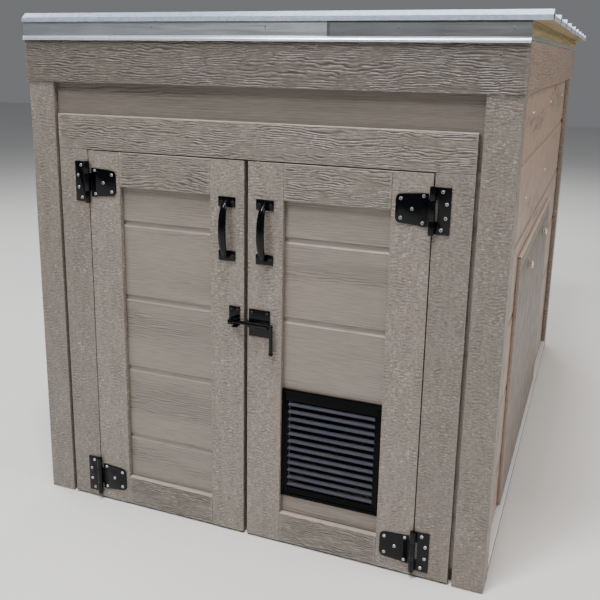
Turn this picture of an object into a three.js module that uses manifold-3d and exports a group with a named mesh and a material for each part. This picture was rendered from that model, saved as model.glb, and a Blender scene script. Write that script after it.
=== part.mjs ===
// A home standby generator in its timber enclosure: a four-foot by six-foot box with double doors,
// a metal roof and an engine-driven generator set on a pad inside.
// Millimetres, +Z up. The doors face -Y. The origin is under the middle of the centre runner.

import * as THREE from 'three';
import { mergeVertices } from 'three/addons/utils/BufferGeometryUtils.js';
import Module from 'manifold-3d';

const wasm = await Module();
wasm.setup();

// ---- driving dimensions -------------------------------------------------------------------------

const gap = 0.3;                 // air left between pieces that touch
const fullWidth = 1260;          // over the corner boards
const fullDepth = 1880;          // over the corner boards
const trimThickness = 16;        // corner boards, casings, header and door boards
const sidingThickness = 9.5;
const friezeProud = 5;           // the frieze stands out past the corner boards by this much
const studThickness = 38;        // two-by-four stock
const studWidth = 89;
const grooveSpacing = 203.2;     // eight-inch grooved siding
const grooveDepth = 3.5;
const grooveHeight = 17;
const topGroove = { wall: 1018, door: 828 };
const lowestGroove = 120;        // no groove is cut below this height
const jambBehindDoor = 12;       // the door closes over the jamb by this much

const halfWidth = fullWidth / 2;
const halfDepth = fullDepth / 2;
const wallX = halfWidth - trimThickness;         // outer plane of the side siding
const wallY = halfDepth - trimThickness;         // outer plane of the front and rear siding
const frameX = wallX - sidingThickness;          // outer plane of the studs
const frameY = wallY - sidingThickness;
const friezeX = halfWidth + friezeProud;
const friezeY = halfDepth + friezeProud - 1;

const level = {
  runnerTop: 38,
  floorTop: 57,
  doorBottom: 5,
  doorTop: 1008,
  headerBottom: 1011,
  headerTop: 1100,
  friezeBottom: 1182,
  friezeTop: 1292,
  topFrameTop: 1331,
  roofDeckTop: 1340,
  ribTop: 1353,
};

const cornerBoardWidth = 76;
const casing = { inner: 456.5, outer: 544 };
const door = { meeting: 5, hinged: 454, stile: 93, bottomRail: 83, topRail: 89 };
const roof = {
  left: 634, right: 672, halfDepth: 948, sheet: 1.2, ribPitch: 228.6, skirtGap: 2, tabOverlap: 6,
};
const ribWidth = { base: 52, top: 24 };
const dripEdge = { sheet: 1.2, proud: 7, drop: 6, shoulder: 10, slope: 2, hem: 1.5 };

const hinge = {
  axisX: 455, barrelRadius: 7, barrelProud: 2, pinRadius: 3, boreRadius: 3.5, plate: 2.5,
  leafReach: 40, leafHeight: 106, leafNotch: 5, strapStart: 10, strapReach: 84, strapHeight: 77, strapTip: 65,
  strapCorner: 12, middleHeight: 47, upperZ: 926, lowerZ: 74,
};
const boardFace = -halfDepth - gap;                       // back plane of all door hardware
const hingeAxisY = boardFace - hinge.barrelRadius - gap;

const pull = {
  x: 51, top: 918, bottom: 756, plateWidth: 46, plateHeight: 26, plateThickness: 3,
  reach: 37, grip: 18, gripThickness: 11, outerInset: 7, innerInset: 20, startAngle: 0.04,
};

const latch = {
  z: 602, axisY: boardFace - 11, left: 10, right: 67, below: 34, above: 37, plate: 2.5, saddle: 7,
  rod: 4.8, bore: 5.4, barrel: 8, handleX: 74, handleDrop: 72, handle: 5.2, elbow: 5.4, knob: 6,
};
const boltHead = { radius: 7.5, left: -42, right: -38.5 };
const boltCollar = { radius: 7.5, left: -38, right: -33 };
const keeper = { left: -45, right: -15, below: 12, above: 38 };
const keeperJaw = { left: -31, right: -16, thickness: 2.5, upper: 9.5 };

const vent = {
  left: 98.5, right: 360.5, bottom: 137, top: 435, depth: 7, sideBorder: 18, bottomBorder: 26, topBorder: 30,
  slats: 12, slatPitch: 20.3, slatWidth: 11, slatThickness: 1.2, slatTilt: 1, firstSlat: 8,
};
const ventOpening = {
  left: vent.left + vent.sideBorder,
  right: vent.right - vent.sideBorder,
  bottom: vent.bottom + vent.bottomBorder,
  top: vent.top - vent.topBorder,
};

const accessHole = { front: -560, rear: 360, bottom: 100, top: 715 };
const accessPanel = { front: -595, rear: 395, bottom: 45, top: 757, thickness: 9 };
const panelKnob = { z: 681, y: [-348, 154], stem: 6, radius: 11, neck: 6, reach: 14 };

const shaft = { y: -100, z: 262 };                        // the line the engine and alternator share
const pad = { left: -350, right: 350, front: -380, rear: 180, height: 50 };
const padTop = level.floorTop + gap + pad.height;
const exhaust = { x: -30, z: 430, radius: 19, wall: 2, start: 158, end: 968, holeMargin: 5 };

// ---- materials ----------------------------------------------------------------------------------

function finish(color, roughness, metalness = 0) {
  return new THREE.MeshStandardMaterial({ color, roughness, metalness });
}

const taupePaint = finish(0x8a8178, 0.6);
const rawTimber = finish(0xa8976a, 0.85);
const plywood = finish(0xb59a6c, 0.85);
const roofSteel = finish(0xc9d3de, 0.35, 0.8);
const galvanised = finish(0x9b9c9a, 0.4, 0.8);
const blackSteel = finish(0x14161a, 0.45, 0.5);
const castAlloy = finish(0x9a9c9e, 0.5, 0.7);
const brightSteel = finish(0xb8babd, 0.3, 0.9);
const sheetGrey = finish(0x6c7072, 0.45, 0.3);
const blackPlastic = finish(0x1c1d1f, 0.6);
const padGrey = finish(0x85878a, 0.9);

// ---- geometry helpers ---------------------------------------------------------------------------

function box(x0, x1, y0, y1, z0, z1) {
  const geometry = new THREE.BoxGeometry(x1 - x0, y1 - y0, z1 - z0);
  return geometry.translate((x0 + x1) / 2, (y0 + y1) / 2, (z0 + z1) / 2);
}

// A box on one side of the middle: side is 1 for the right-hand one and -1 for the left.
function sideBox(side, near, far, y0, y1, z0, z1) {
  return side > 0 ? box(near, far, y0, y1, z0, z1) : box(-far, -near, y0, y1, z0, z1);
}

function outline(points) {
  return new THREE.Shape(points.map(([a, b]) => new THREE.Vector2(a, b)));
}

// A rectangular hole for an outline.
function opening(a0, a1, b0, b1) {
  return new THREE.Path([[a0, b0], [a0, b1], [a1, b1], [a1, b0]].map(([a, b]) => new THREE.Vector2(a, b)));
}

// Extrudes an XY outline upwards from z0 to z1.
function extrudeUp(shape, z0, z1) {
  return new THREE.ExtrudeGeometry(shape, { depth: z1 - z0, bevelEnabled: false }).translate(0, 0, z0);
}

// Extrudes an XZ outline along Y from y0 to y1.
function extrudeBack(shape, y0, y1, curveSegments = 6) {
  const geometry = new THREE.ExtrudeGeometry(shape, { depth: y1 - y0, bevelEnabled: false, curveSegments });
  return geometry.rotateX(Math.PI / 2).translate(0, y1, 0);
}

// Extrudes a YZ outline along X from x0 to x1.
function extrudeAcross(shape, x0, x1, curveSegments = 6) {
  const geometry = new THREE.ExtrudeGeometry(shape, { depth: x1 - x0, bevelEnabled: false, curveSegments });
  return geometry.rotateX(Math.PI / 2).rotateZ(Math.PI / 2).translate(x0, 0, 0);
}

// A round bar along X, Y or Z.
function rod(axis, radius, from, to, a, b, sides = 14) {
  const geometry = new THREE.CylinderGeometry(radius, radius, to - from, sides);
  const middle = (from + to) / 2;
  if (axis === 'x') return geometry.rotateZ(-Math.PI / 2).translate(middle, a, b);
  if (axis === 'y') return geometry.translate(a, middle, b);
  return geometry.rotateX(Math.PI / 2).translate(a, b, middle);
}

// Turns a closed profile of [distance from the line, place along it] about a line along X. The
// profile may be listed either way round.
function turnAboutX(profile, y, z, sides = 20) {
  const points = profile.map(([radius, along]) => new THREE.Vector2(radius, along));
  if (THREE.ShapeUtils.area(points) < 0) points.reverse();
  const geometry = new THREE.LatheGeometry(points, sides);
  return geometry.rotateZ(-Math.PI / 2).translate(0, y, z);
}

function solid(geometry) {
  const bare = geometry.clone();
  bare.deleteAttribute('normal');
  bare.deleteAttribute('uv');
  const merged = mergeVertices(bare, 1e-4);
  return new wasm.Manifold(new wasm.Mesh({
    numProp: 3,
    vertProperties: new Float32Array(merged.attributes.position.array),
    triVerts: new Uint32Array(merged.index.array),
  }));
}

function toGeometry(manifold) {
  const mesh = manifold.getMesh();
  const geometry = new THREE.BufferGeometry();
  geometry.setAttribute('position', new THREE.BufferAttribute(new Float32Array(mesh.vertProperties), 3));
  geometry.setIndex(new THREE.BufferAttribute(new Uint32Array(mesh.triVerts), 1));
  geometry.computeVertexNormals();
  return geometry;
}

function join(...geometries) {
  return toGeometry(geometries.map(solid).reduce((sum, piece) => sum.add(piece)));
}

function cut(geometry, ...tools) {
  return toGeometry(tools.map(solid).reduce((rest, tool) => rest.subtract(tool), solid(geometry)));
}

// ---- assembly -----------------------------------------------------------------------------------

const enclosure = new THREE.Group();

function add(name, geometry, material, parent = enclosure) {
  const mesh = new THREE.Mesh(geometry, material);
  mesh.name = name;
  parent.add(mesh);
  return mesh;
}

const sides = [['left', -1], ['right', 1]];

// Base: three runners with a plywood floor. The outer runners are notched round the corner boards
// and show as a ledge below the side siding.
function addBase() {
  const ledgeEnd = halfDepth - cornerBoardWidth - gap;
  for (const [name, side] of sides) {
    const inner = sideBox(side, frameX - studWidth, wallX - gap, -frameY, frameY, 0, level.runnerTop);
    const ledge = sideBox(side, wallX - 1, halfWidth, -ledgeEnd, ledgeEnd, 0, level.runnerTop);
    add(`runner_${name}`, join(inner, ledge), taupePaint);
  }
  const half = studWidth / 2;
  add('runner_centre', box(-half, half, -frameY, frameY, 0, level.runnerTop), rawTimber);
  add('floor_deck', box(-frameX, frameX, -frameY, frameY, level.runnerTop + gap, level.floorTop), plywood);
}

// Posts stand on the floor and carry the flat top frame. The front posts are wide enough to be the
// door jambs too.
function addPosts() {
  const bottom = level.floorTop + gap;
  const top = level.friezeTop;
  const jamb = door.hinged - jambBehindDoor;
  for (const [name, side] of sides) {
    const front = sideBox(side, jamb, frameX - gap, -frameY, studThickness - frameY, bottom, top);
    const rear = sideBox(side, frameX - studWidth, frameX - gap, frameY - studThickness, frameY, bottom, top);
    add(`front_post_${name}`, front, rawTimber);
    add(`rear_post_${name}`, rear, rawTimber);
  }
}

// A grooved siding sheet that faces -Y with its outer face on y = 0. Each groove has a square
// shoulder above and a sloping one below.
function sidingSheet(length, bottom, top, grooveTops) {
  const face = [[0, bottom]];
  for (const z of [...grooveTops].sort((a, b) => a - b)) {
    face.push([0, z - grooveHeight], [grooveDepth, z - grooveHeight + grooveDepth], [grooveDepth, z], [0, z]);
  }
  const profile = outline([...face, [0, top], [sidingThickness - gap, top], [sidingThickness - gap, bottom]]);
  return extrudeAcross(profile, -length / 2, length / 2);
}

function grooves(highest, lowest) {
  const tops = [];
  for (let z = highest; z > lowest; z -= grooveSpacing) tops.push(z);
  return tops;
}

function addSiding() {
  const bottom = level.runnerTop + gap;
  const top = level.friezeTop;
  const wallGrooves = grooves(topGroove.wall, lowestGroove);
  const sideLength = 2 * frameY - 2 * gap;
  const sheet = () => sidingSheet(sideLength, bottom, top, wallGrooves);
  add('left_siding', sheet().rotateZ(-Math.PI / 2).translate(-wallX, 0, 0), taupePaint);
  const { front, rear: back, bottom: low, top: high } = accessHole;
  const hole = box(frameX - 5, wallX + 5, front, back, low, high);
  add('right_siding', cut(sheet().rotateZ(Math.PI / 2).translate(wallX, 0, 0), hole), taupePaint);

  const rear = sidingSheet(2 * wallX - 2 * gap, bottom, top, wallGrooves).rotateZ(Math.PI);
  const holeRadius = exhaust.radius + exhaust.holeMargin;
  const pipeHole = rod('y', holeRadius, frameY - 10, wallY + 10, exhaust.x, exhaust.z);
  add('rear_siding', cut(rear.translate(0, wallY, 0), pipeHole), taupePaint);

  const outer = wallX - gap;
  const inner = casing.inner + 2;
  const arch = outline([
    [-outer, bottom], [-inner, bottom], [-inner, level.headerBottom], [inner, level.headerBottom],
    [inner, bottom], [outer, bottom], [outer, top], [-outer, top],
  ]);
  add('front_siding', extrudeBack(arch, -wallY, -frameY - gap), taupePaint);
}

// Each corner is one L-shaped board that wraps both walls.
function addCornerBoards() {
  const top = level.friezeBottom - gap;
  const outerX = halfWidth;
  const outerY = halfDepth;
  const innerX = wallX + gap;
  const innerY = wallY + gap;
  const endX = halfWidth - cornerBoardWidth;
  const endY = halfDepth - cornerBoardWidth;
  for (const [end, front] of [['front', -1], ['rear', 1]]) {
    for (const [name, side] of sides) {
      const points = [
        [outerX, outerY], [endX, outerY], [endX, innerY], [innerX, innerY], [innerX, endY], [outerX, endY],
      ];
      const shape = outline(points.map(([x, y]) => [x * side, y * front]));
      add(`corner_board_${end}_${name}`, extrudeUp(shape, 0, top), taupePaint);
    }
  }
}

function addTrim() {
  const bottom = level.friezeBottom;
  const top = level.friezeTop - gap;
  add('frieze_front', box(-friezeX, friezeX, -friezeY, -wallY - gap, bottom, top), taupePaint);
  add('frieze_rear', box(-friezeX, friezeX, wallY + gap, friezeY, bottom, top), taupePaint);
  for (const [name, side] of sides) {
    add(`frieze_${name}`, sideBox(side, wallX + gap, friezeX, -wallY, wallY, bottom, top), taupePaint);
    const board = sideBox(side, casing.inner, casing.outer, -halfDepth, -wallY - gap,
      level.doorBottom, level.headerBottom - 1);
    add(`casing_${name}`, board, taupePaint);
  }
  const { headerBottom, headerTop } = level;
  const header = box(-casing.outer, casing.outer, -halfDepth, -wallY - gap, headerBottom, headerTop);
  add('header_board', header, taupePaint);
}

// The flat top frame shows as raw timber above the side friezes; the deck and ribbed sheet lie on it.
function addRoof() {
  const z0 = level.friezeTop + gap;
  const z1 = level.topFrameTop;
  const window = (y0, y1) => box(studWidth - friezeX, friezeX - studWidth, y0, y1, z0 - 5, z1 + 5);
  const plate = box(-friezeX, friezeX, -friezeY, friezeY, z0, z1);
  const half = studWidth / 2;
  const end = friezeY - studWidth;
  add('top_frame', cut(plate, window(-end, -half), window(half, end)), rawTimber);

  const deckTop = level.roofDeckTop;
  add('roof_deck', box(-roof.left, roof.right, -roof.halfDepth, roof.halfDepth, z1 + gap, deckTop), plywood);
  addRoofSheet(deckTop + gap);
  addDripEdge();
}

// The ribs run from side to side. The sheet's edges are folded down over the deck: in one strip
// along the front and rear, and as tabs between the ribs at the left and right ends.
function addRoofSheet(underside) {
  const { sheet, ribPitch, halfDepth: edge } = roof;
  const skirtBottom = level.topFrameTop + roof.skirtGap;
  const skirtTop = underside + sheet / 2;
  const rise = level.ribTop - underside - sheet;
  const base = ribWidth.base / 2;
  const crown = ribWidth.top / 2;
  const ribCentres = [];
  for (let y = base - edge; y < edge; y += ribPitch) ribCentres.push(y);

  const top = [];
  for (const y of ribCentres) top.push([y - base, 0], [y - crown, rise], [y + crown, rise], [y + base, 0]);
  const upper = [[-edge - gap - sheet, 0], ...top.slice(1), [edge + gap + sheet, 0]];
  const path = upper.map(([y, z]) => [y, underside + sheet + z]);
  const under = [...upper].reverse().map(([y, z]) => [y, underside + z]);
  const x0 = -roof.left - gap - sheet;
  const x1 = roof.right + gap + sheet;
  const pieces = [extrudeAcross(outline([...path, ...under]), x0, x1)];
  for (const y of [-edge - gap - sheet, edge + gap]) {
    pieces.push(box(x0, x1, y, y + sheet, skirtBottom, skirtTop));
  }
  const notch = base - roof.tabOverlap;
  const stops = [...ribCentres, edge + notch];
  for (let i = 0; i + 1 < stops.length; i += 1) {
    for (const x of [x0, x1 - sheet]) {
      pieces.push(box(x, x + sheet, stops[i] + notch, stops[i + 1] - notch, skirtBottom, skirtTop));
    }
  }
  add('roof_sheet', join(...pieces), roofSteel);
}

// A folded flashing over the front of the top frame, with a lip that throws water off the frieze.
function addDripEdge() {
  const { sheet, proud, drop, shoulder, slope, hem } = dripEdge;
  const back = -friezeY - gap;
  const face = back - sheet;
  const lip = back - proud;
  const foot = level.friezeTop - drop;
  const profile = outline([
    [back, level.topFrameTop], [face, level.topFrameTop], [face, foot + shoulder],
    [lip, foot + shoulder - slope], [lip, foot], [lip + hem, foot],
    [lip + hem, foot + shoulder - slope - hem], [back, foot + shoulder - hem],
  ]);
  add('drip_edge', extrudeAcross(profile, -friezeX, friezeX), galvanised);
}

// ---- doors --------------------------------------------------------------------------------------

// A door is a grooved panel with a flat frame of boards on its face.
function addDoor(name, side) {
  const { meeting, hinged, stile, bottomRail, topRail } = door;
  const { doorBottom: bottom, doorTop: top } = level;
  const ends = (a, b) => (side > 0 ? [a, b] : [-b, -a]);
  const [x0, x1] = ends(meeting, hinged);
  const frame = outline([[x0, bottom], [x1, bottom], [x1, top], [x0, top]]);
  const [h0, h1] = ends(meeting + stile, hinged - stile);
  const z0 = bottom + bottomRail;
  const z1 = top - topRail;
  frame.holes.push(opening(h0, h1, z0, z1));
  add(`${name}_door_frame`, extrudeBack(frame, -halfDepth, -wallY - gap), taupePaint);

  const sheet = sidingSheet(hinged - meeting, bottom, top, grooves(topGroove.door, lowestGroove));
  sheet.translate((x0 + x1) / 2, -wallY, 0);
  const { left, right, bottom: low, top: high } = ventOpening;
  const window = box(left, right, -wallY - 5, -frameY + 5, low, high);
  add(`${name}_door_panel`, side > 0 ? cut(sheet, window) : sheet, taupePaint);
}

// The louvre fills the width between the stiles. Its blades slope down towards the outside.
function addVent() {
  const { left, right, bottom, top, depth, slats, slatPitch, slatWidth, slatThickness, slatTilt } = vent;
  const back = -wallY - gap;
  const face = back - depth;
  const frame = outline([[left, bottom], [right, bottom], [right, top], [left, top]]);
  frame.holes.push(opening(ventOpening.left, ventOpening.right, ventOpening.bottom, ventOpening.top));
  const pieces = [extrudeBack(frame, face, back)];
  const first = ventOpening.top - vent.firstSlat;
  for (let i = 0; i < slats; i += 1) {
    const slat = new THREE.BoxGeometry(ventOpening.right - ventOpening.left + 2, slatWidth, slatThickness);
    slat.rotateX(slatTilt).translate((left + right) / 2, (face + back) / 2, first - i * slatPitch);
    pieces.push(slat);
  }
  add('vent_louvre', join(...pieces), blackSteel);
}

// A surface tee hinge. The leaf with its pin is screwed to the casing and the strap to the door.
function addHinge(name, side, z) {
  const h = hinge;
  const out = -side;                                     // towards the door from the pin
  const back = boardFace;
  const front = boardFace - h.plate;
  const middle = h.middleHeight / 2;
  const half = h.leafHeight / 2;
  const barrelTop = half + h.barrelProud;
  const at = (distance) => h.axisX * side + out * distance;

  const leafInner = 1 - h.barrelRadius;
  const notch = leafInner - h.leafNotch;
  const leafPlate = outline([
    [at(-h.leafReach), z - half], [at(leafInner), z - half],
    [at(leafInner), z - middle], [at(notch), z - middle],
    [at(notch), z + middle], [at(leafInner), z + middle],
    [at(leafInner), z + half], [at(-h.leafReach), z + half],
  ]);
  const leafWeb = (z0, z1) => {
    const [a, b] = [at(notch + 1), at(0)].sort((p, q) => p - q);
    return box(a, b, front, back, z0, z1);
  };
  const barrel = (z0, z1) => rod('z', h.barrelRadius, z0, z1, h.axisX * side, hingeAxisY, 18);
  const pin = rod('z', h.pinRadius, z - half, z + half, h.axisX * side, hingeAxisY, 12);
  const leaf = join(
    extrudeBack(leafPlate, front, back),
    leafWeb(z - half, z - middle), leafWeb(z + middle, z + half),
    barrel(z - barrelTop, z - middle), barrel(z + middle, z + barrelTop), pin,
  );
  add(`hinge_leaf_${name}`, leaf, blackSteel);

  const corner = h.strapCorner;
  const strap = new THREE.Shape();
  const [root, tip] = [h.strapHeight / 2, h.strapTip / 2];
  strap.moveTo(at(h.strapStart), z - root);
  strap.lineTo(at(h.strapReach - corner), z - tip - 1);
  strap.quadraticCurveTo(at(h.strapReach), z - tip, at(h.strapReach), z - tip + corner);
  strap.lineTo(at(h.strapReach), z + tip - corner);
  strap.quadraticCurveTo(at(h.strapReach), z + tip, at(h.strapReach - corner), z + tip + 1);
  strap.lineTo(at(h.strapStart), z + root);
  const [a, b] = [at(0), at(h.strapStart + 2)].sort((p, q) => p - q);
  const knuckle = barrel(z - middle + gap, z + middle - gap);
  const tongue = box(a, b, front, back, z - middle + gap, z + middle - gap);
  const bore = rod('z', h.boreRadius, z - middle - 5, z + middle + 5, h.axisX * side, hingeAxisY, 16);
  add(`hinge_strap_${name}`, cut(join(extrudeBack(strap, front, back), knuckle, tongue), bore), blackSteel);
}

// A bowed pull: two foot plates and an arched grip that is thickest in the middle.
function addPullHandle(name, side) {
  const { top, bottom, plateWidth, plateHeight, plateThickness, reach, grip, startAngle } = pull;
  const back = boardFace;
  const x = pull.x * side;
  const plate = (z0) =>
    box(x - plateWidth / 2, x + plateWidth / 2, back - plateThickness, back, z0, z0 + plateHeight);
  const middle = (top + bottom) / 2;
  const halfSpan = (top - bottom) / 2;
  const steps = 12;
  const bow = (halfHeight, depth) => {
    const points = [];
    for (let i = 0; i <= steps; i += 1) {
      const angle = startAngle + ((Math.PI - 2 * startAngle) * i) / steps;
      points.push([back - depth * Math.sin(angle), middle + halfHeight * Math.cos(angle)]);
    }
    return points;
  };
  const outer = bow(halfSpan - pull.outerInset, reach);
  const inner = bow(halfSpan - pull.innerInset, reach - pull.gripThickness).reverse();
  const arch = extrudeAcross(outline([...outer, ...inner]), x - grip / 2, x + grip / 2);
  add(`${name}_pull_handle`, join(plate(top - plateHeight), plate(bottom), arch), blackSteel);
}

// The slide bolt: a plate with a barrel on the right door, a rod with a hanging handle and a loose
// collar behind its head, and a keeper on the left door that is open towards the front.
function addLatch() {
  const { z, axisY, left, right, saddle, barrel, bore, handleX, handleDrop } = latch;
  const front = boardFace - latch.plate;
  const bar = (radius, from, to, facets = 16) => rod('x', radius, from, to, axisY, z, facets);
  const plate = box(left, right, front, boardFace, z - latch.below, z + latch.above);
  const web = box(left + 1, right - 1, axisY + barrel / 2, front + 1, z - saddle, z + saddle);
  const tube = bar(barrel, left, right, 20);
  add('latch_plate', cut(join(plate, web, tube), bar(bore, left - 10, right + 10, 20)), blackSteel);

  const ball = (radius, height) => new THREE.SphereGeometry(radius, 10, 6).translate(handleX, axisY, height);
  const stem = bar(latch.rod, boltHead.left + 1, handleX);
  const head = bar(boltHead.radius, boltHead.left, boltHead.right);
  const handle = rod('z', latch.handle, z - handleDrop, z, handleX, axisY, 14);
  const bolt = join(stem, head, ball(latch.elbow, z), handle, ball(latch.knob, z - handleDrop));
  add('latch_bolt', bolt, blackSteel);
  const ring = bar(boltCollar.radius, boltCollar.left, boltCollar.right);
  add('bolt_collar', cut(ring, bar(bore, boltCollar.left - 10, boltCollar.right + 10)), blackSteel);

  const keeperPlate = box(keeper.left, keeper.right, front, boardFace, z - keeper.below, z + keeper.above);
  const { left: jawLeft, right: jawRight, thickness, upper } = keeperJaw;
  const jaw = (low) => box(jawLeft, jawRight, axisY - barrel, front + 1, low, low + thickness);
  add('latch_keeper', join(keeperPlate, jaw(z - keeper.below), jaw(z + upper)), blackSteel);
}

function addAccessPanel() {
  const { front, rear, bottom, top, thickness } = accessPanel;
  const inner = wallX + gap;
  const outer = inner + thickness;
  const { z, stem, radius, neck, reach } = panelKnob;
  const knobs = panelKnob.y.flatMap((y) => [
    rod('x', stem, outer - 2, outer + neck + 2, y, z, 14),
    rod('x', radius, outer + neck, outer + reach, y, z, 16),
  ]);
  add('access_panel', join(box(inner, outer, front, rear, bottom, top), ...knobs), taupePaint);
}

// ---- generator set ------------------------------------------------------------------------------

const engine = { left: -180, right: 0, front: -200, rear: 0, deck: 350, tunnel: 18 };
const cylinder = {
  x: -90, y: -100, radius: 58, fin: 76, fins: 7, finPitch: 17, finThickness: 4, firstFin: 8,
  head: 472, headHalf: 72, headHeight: 34, coverHalf: 52, top: 536,
};
const blower = { outer: 135, wall: 4, length: 78, intake: 92, shaftHole: 40 };
const crank = {
  shaftRadius: 14,
  tail: 296,
  nut: { radius: 12, left: -252 },
  hub: { radius: 30, left: -246 },
  flywheel: { radius: 116, left: -238, right: -212 },
  boss: { radius: 26, left: -208, right: -200 },
  rotor: { radius: 70, left: 34, right: 226 },
};
const alternator = {
  left: gap, right: 246, wall: 10, bore: 18, inner: 80, outer: 118,
  bell: { radius: 112, right: 254 },
  hub: { inner: 34, outer: 48, left: 250, step: 262, pocket: 276, right: 284 },
  foot: { left: 60, right: 210, half: 70, drop: 108 },
};
const muffler = {
  y: 92, left: -206, right: 18, radius: 58, shoulder: 52, neck: 34, shoulderLength: 10, endLength: 24,
  portHalf: 26, portBottom: 44, portTop: 74,
};
const outlet = { clearance: 1, flange: 62, flangeThickness: 4, sleeve: 6, sleeveStart: 7, length: 20 };
const airCleaner = {
  left: -168, right: -12, front: -312, rear: -212, bottom: 372, top: 476, neckRadius: 22, neckZ: 420,
};

function addEngine() {
  const { left, right, front, rear, deck } = engine;
  const { x, y, head } = cylinder;
  const crankcase = box(left, right, front, rear, padTop + gap, deck);
  const tunnel = rod('x', engine.tunnel, left - 10, right + 10, shaft.y, shaft.z, 16);
  const barrel = rod('z', cylinder.radius, deck - 2, head + 2, x, y, 16);
  const fins = [];
  for (let i = 0; i < cylinder.fins; i += 1) {
    const z = deck + cylinder.firstFin + i * cylinder.finPitch;
    fins.push(rod('z', cylinder.fin, z, z + cylinder.finThickness, x, y, 16));
  }
  const block = (half, z0, z1) => box(x - half, x + half, y - half, y + half, z0, z1);
  const headTop = head + cylinder.headHeight;
  const headBlock = block(cylinder.headHalf, head, headTop);
  const rockerCover = block(cylinder.coverHalf, headTop - 1, cylinder.top);
  add('engine_block', cut(join(crankcase, barrel, ...fins, headBlock, rockerCover), tunnel), castAlloy);
}

// The open-ended housing round the flywheel fan, at the left end of the crankshaft.
function addBlowerHousing() {
  const { outer, wall, intake, shaftHole } = blower;
  const right = engine.left - gap;
  const left = right - blower.length;
  const profile = [
    [shaftHole, right], [shaftHole, right - wall], [outer - wall, right - wall], [outer - wall, left + wall],
    [intake, left + wall], [intake, left], [outer, left], [outer, right], [shaftHole, right],
  ];
  add('blower_housing', turnAboutX(profile, shaft.y, shaft.z, 24), blackPlastic);
}

// Crankshaft, flywheel and rotor turn as one.
function addCrankAndRotor() {
  const { shaftRadius, tail, nut, hub, flywheel, boss, rotor } = crank;
  const profile = [
    [0, nut.left], [nut.radius, nut.left], [nut.radius, hub.left], [hub.radius, hub.left],
    [hub.radius, flywheel.left], [flywheel.radius, flywheel.left], [flywheel.radius, flywheel.right],
    [boss.radius, boss.left], [shaftRadius, boss.right], [shaftRadius, rotor.left],
    [rotor.radius, rotor.left], [rotor.radius, rotor.right], [shaftRadius, rotor.right],
    [shaftRadius, tail], [0, tail],
  ];
  add('crank_and_rotor', turnAboutX(profile, shaft.y, shaft.z, 24), brightSteel);
}

function addAlternator() {
  const { left, right, wall, bore, inner, outer, bell, hub, foot } = alternator;
  const profile = [
    [bore, left], [bore, left + wall], [inner, left + wall], [inner, right], [hub.inner, hub.left],
    [hub.inner, hub.pocket], [bore, hub.pocket], [bore, hub.right], [hub.outer, hub.right],
    [hub.outer, hub.step], [bell.radius, bell.right], [outer, right], [outer, left], [bore, left],
  ];
  const barrel = turnAboutX(profile, shaft.y, shaft.z, 24);
  const [front, rear] = [shaft.y - foot.half, shaft.y + foot.half];
  const base = box(foot.left, foot.right, front, rear, padTop + gap, shaft.z - foot.drop);
  add('alternator', join(barrel, base), castAlloy);
}

function addExhaust() {
  const { x, z, radius, wall, start, end } = exhaust;
  const { left, right, shoulder, neck, shoulderLength, endLength } = muffler;
  const profile = [
    [0, left], [neck, left], [shoulder, left + shoulderLength], [muffler.radius, left + endLength],
    [muffler.radius, right - endLength], [shoulder, right - shoulderLength], [neck, right], [0, right],
  ];
  const body = turnAboutX(profile, muffler.y, z);
  const [portLeft, portRight] = [cylinder.x - muffler.portHalf, cylinder.x + muffler.portHalf];
  const portFront = cylinder.y + cylinder.headHalf + gap;
  const port = box(portLeft, portRight, portFront, muffler.y, z + muffler.portBottom, z + muffler.portTop);
  const stub = rod('y', radius + exhaust.holeMargin, muffler.y, start, x, z, 16);
  add('muffler', join(body, port, stub), galvanised);

  const pipe = rod('y', radius, start + gap, end, x, z, 16);
  const pipeBore = rod('y', radius - wall, start + 20, end + 5, x, z, 16);
  add('exhaust_pipe', cut(pipe, pipeBore), galvanised);

  const inner = radius + outlet.clearance;
  const back = wallY + gap;
  const collar = [
    [inner, back], [outlet.flange, back], [outlet.flange, wallY + outlet.flangeThickness],
    [inner + outlet.sleeve, wallY + outlet.sleeveStart], [inner + outlet.sleeve, wallY + outlet.length],
    [inner, wallY + outlet.length], [inner, back],
  ];
  add('exhaust_outlet', turnAboutX(collar, 0, 0).rotateZ(Math.PI / 2).translate(x, 0, z), galvanised);
}

function addAirCleaner() {
  const { left, right, front, rear, bottom, top, neckRadius, neckZ } = airCleaner;
  const canister = box(left, right, front, rear, bottom, top);
  const neck = rod('y', neckRadius, rear - 2, cylinder.y - cylinder.fin - 1, cylinder.x, neckZ, 16);
  add('air_cleaner', join(canister, neck), blackPlastic);
}

// The control cabinet faces the doors from a pedestal at the front of the pad.
const cabinet = { left: 70, right: 330, front: -372, rear: -272, bottom: 340, top: 600 };
const pedestal = { left: 150, right: 250, frontInset: 22, rearInset: 18 };
const startSwitch = { x: 124, z: 540, width: 26, height: 42, pocket: 22 };
const rocker = { upper: 7, middle: 2, lower: 4, shoulder: 6, depth: 14, tipMargin: 3, backMargin: 4 };
const breaker = { x: 276, z: 540, width: 14, height: 46, pocket: 34, hubRadius: 11, hubDepth: 14 };
const lever = { half: 5, proud: 14, root: 8, bottom: 3, top: 10 };

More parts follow.
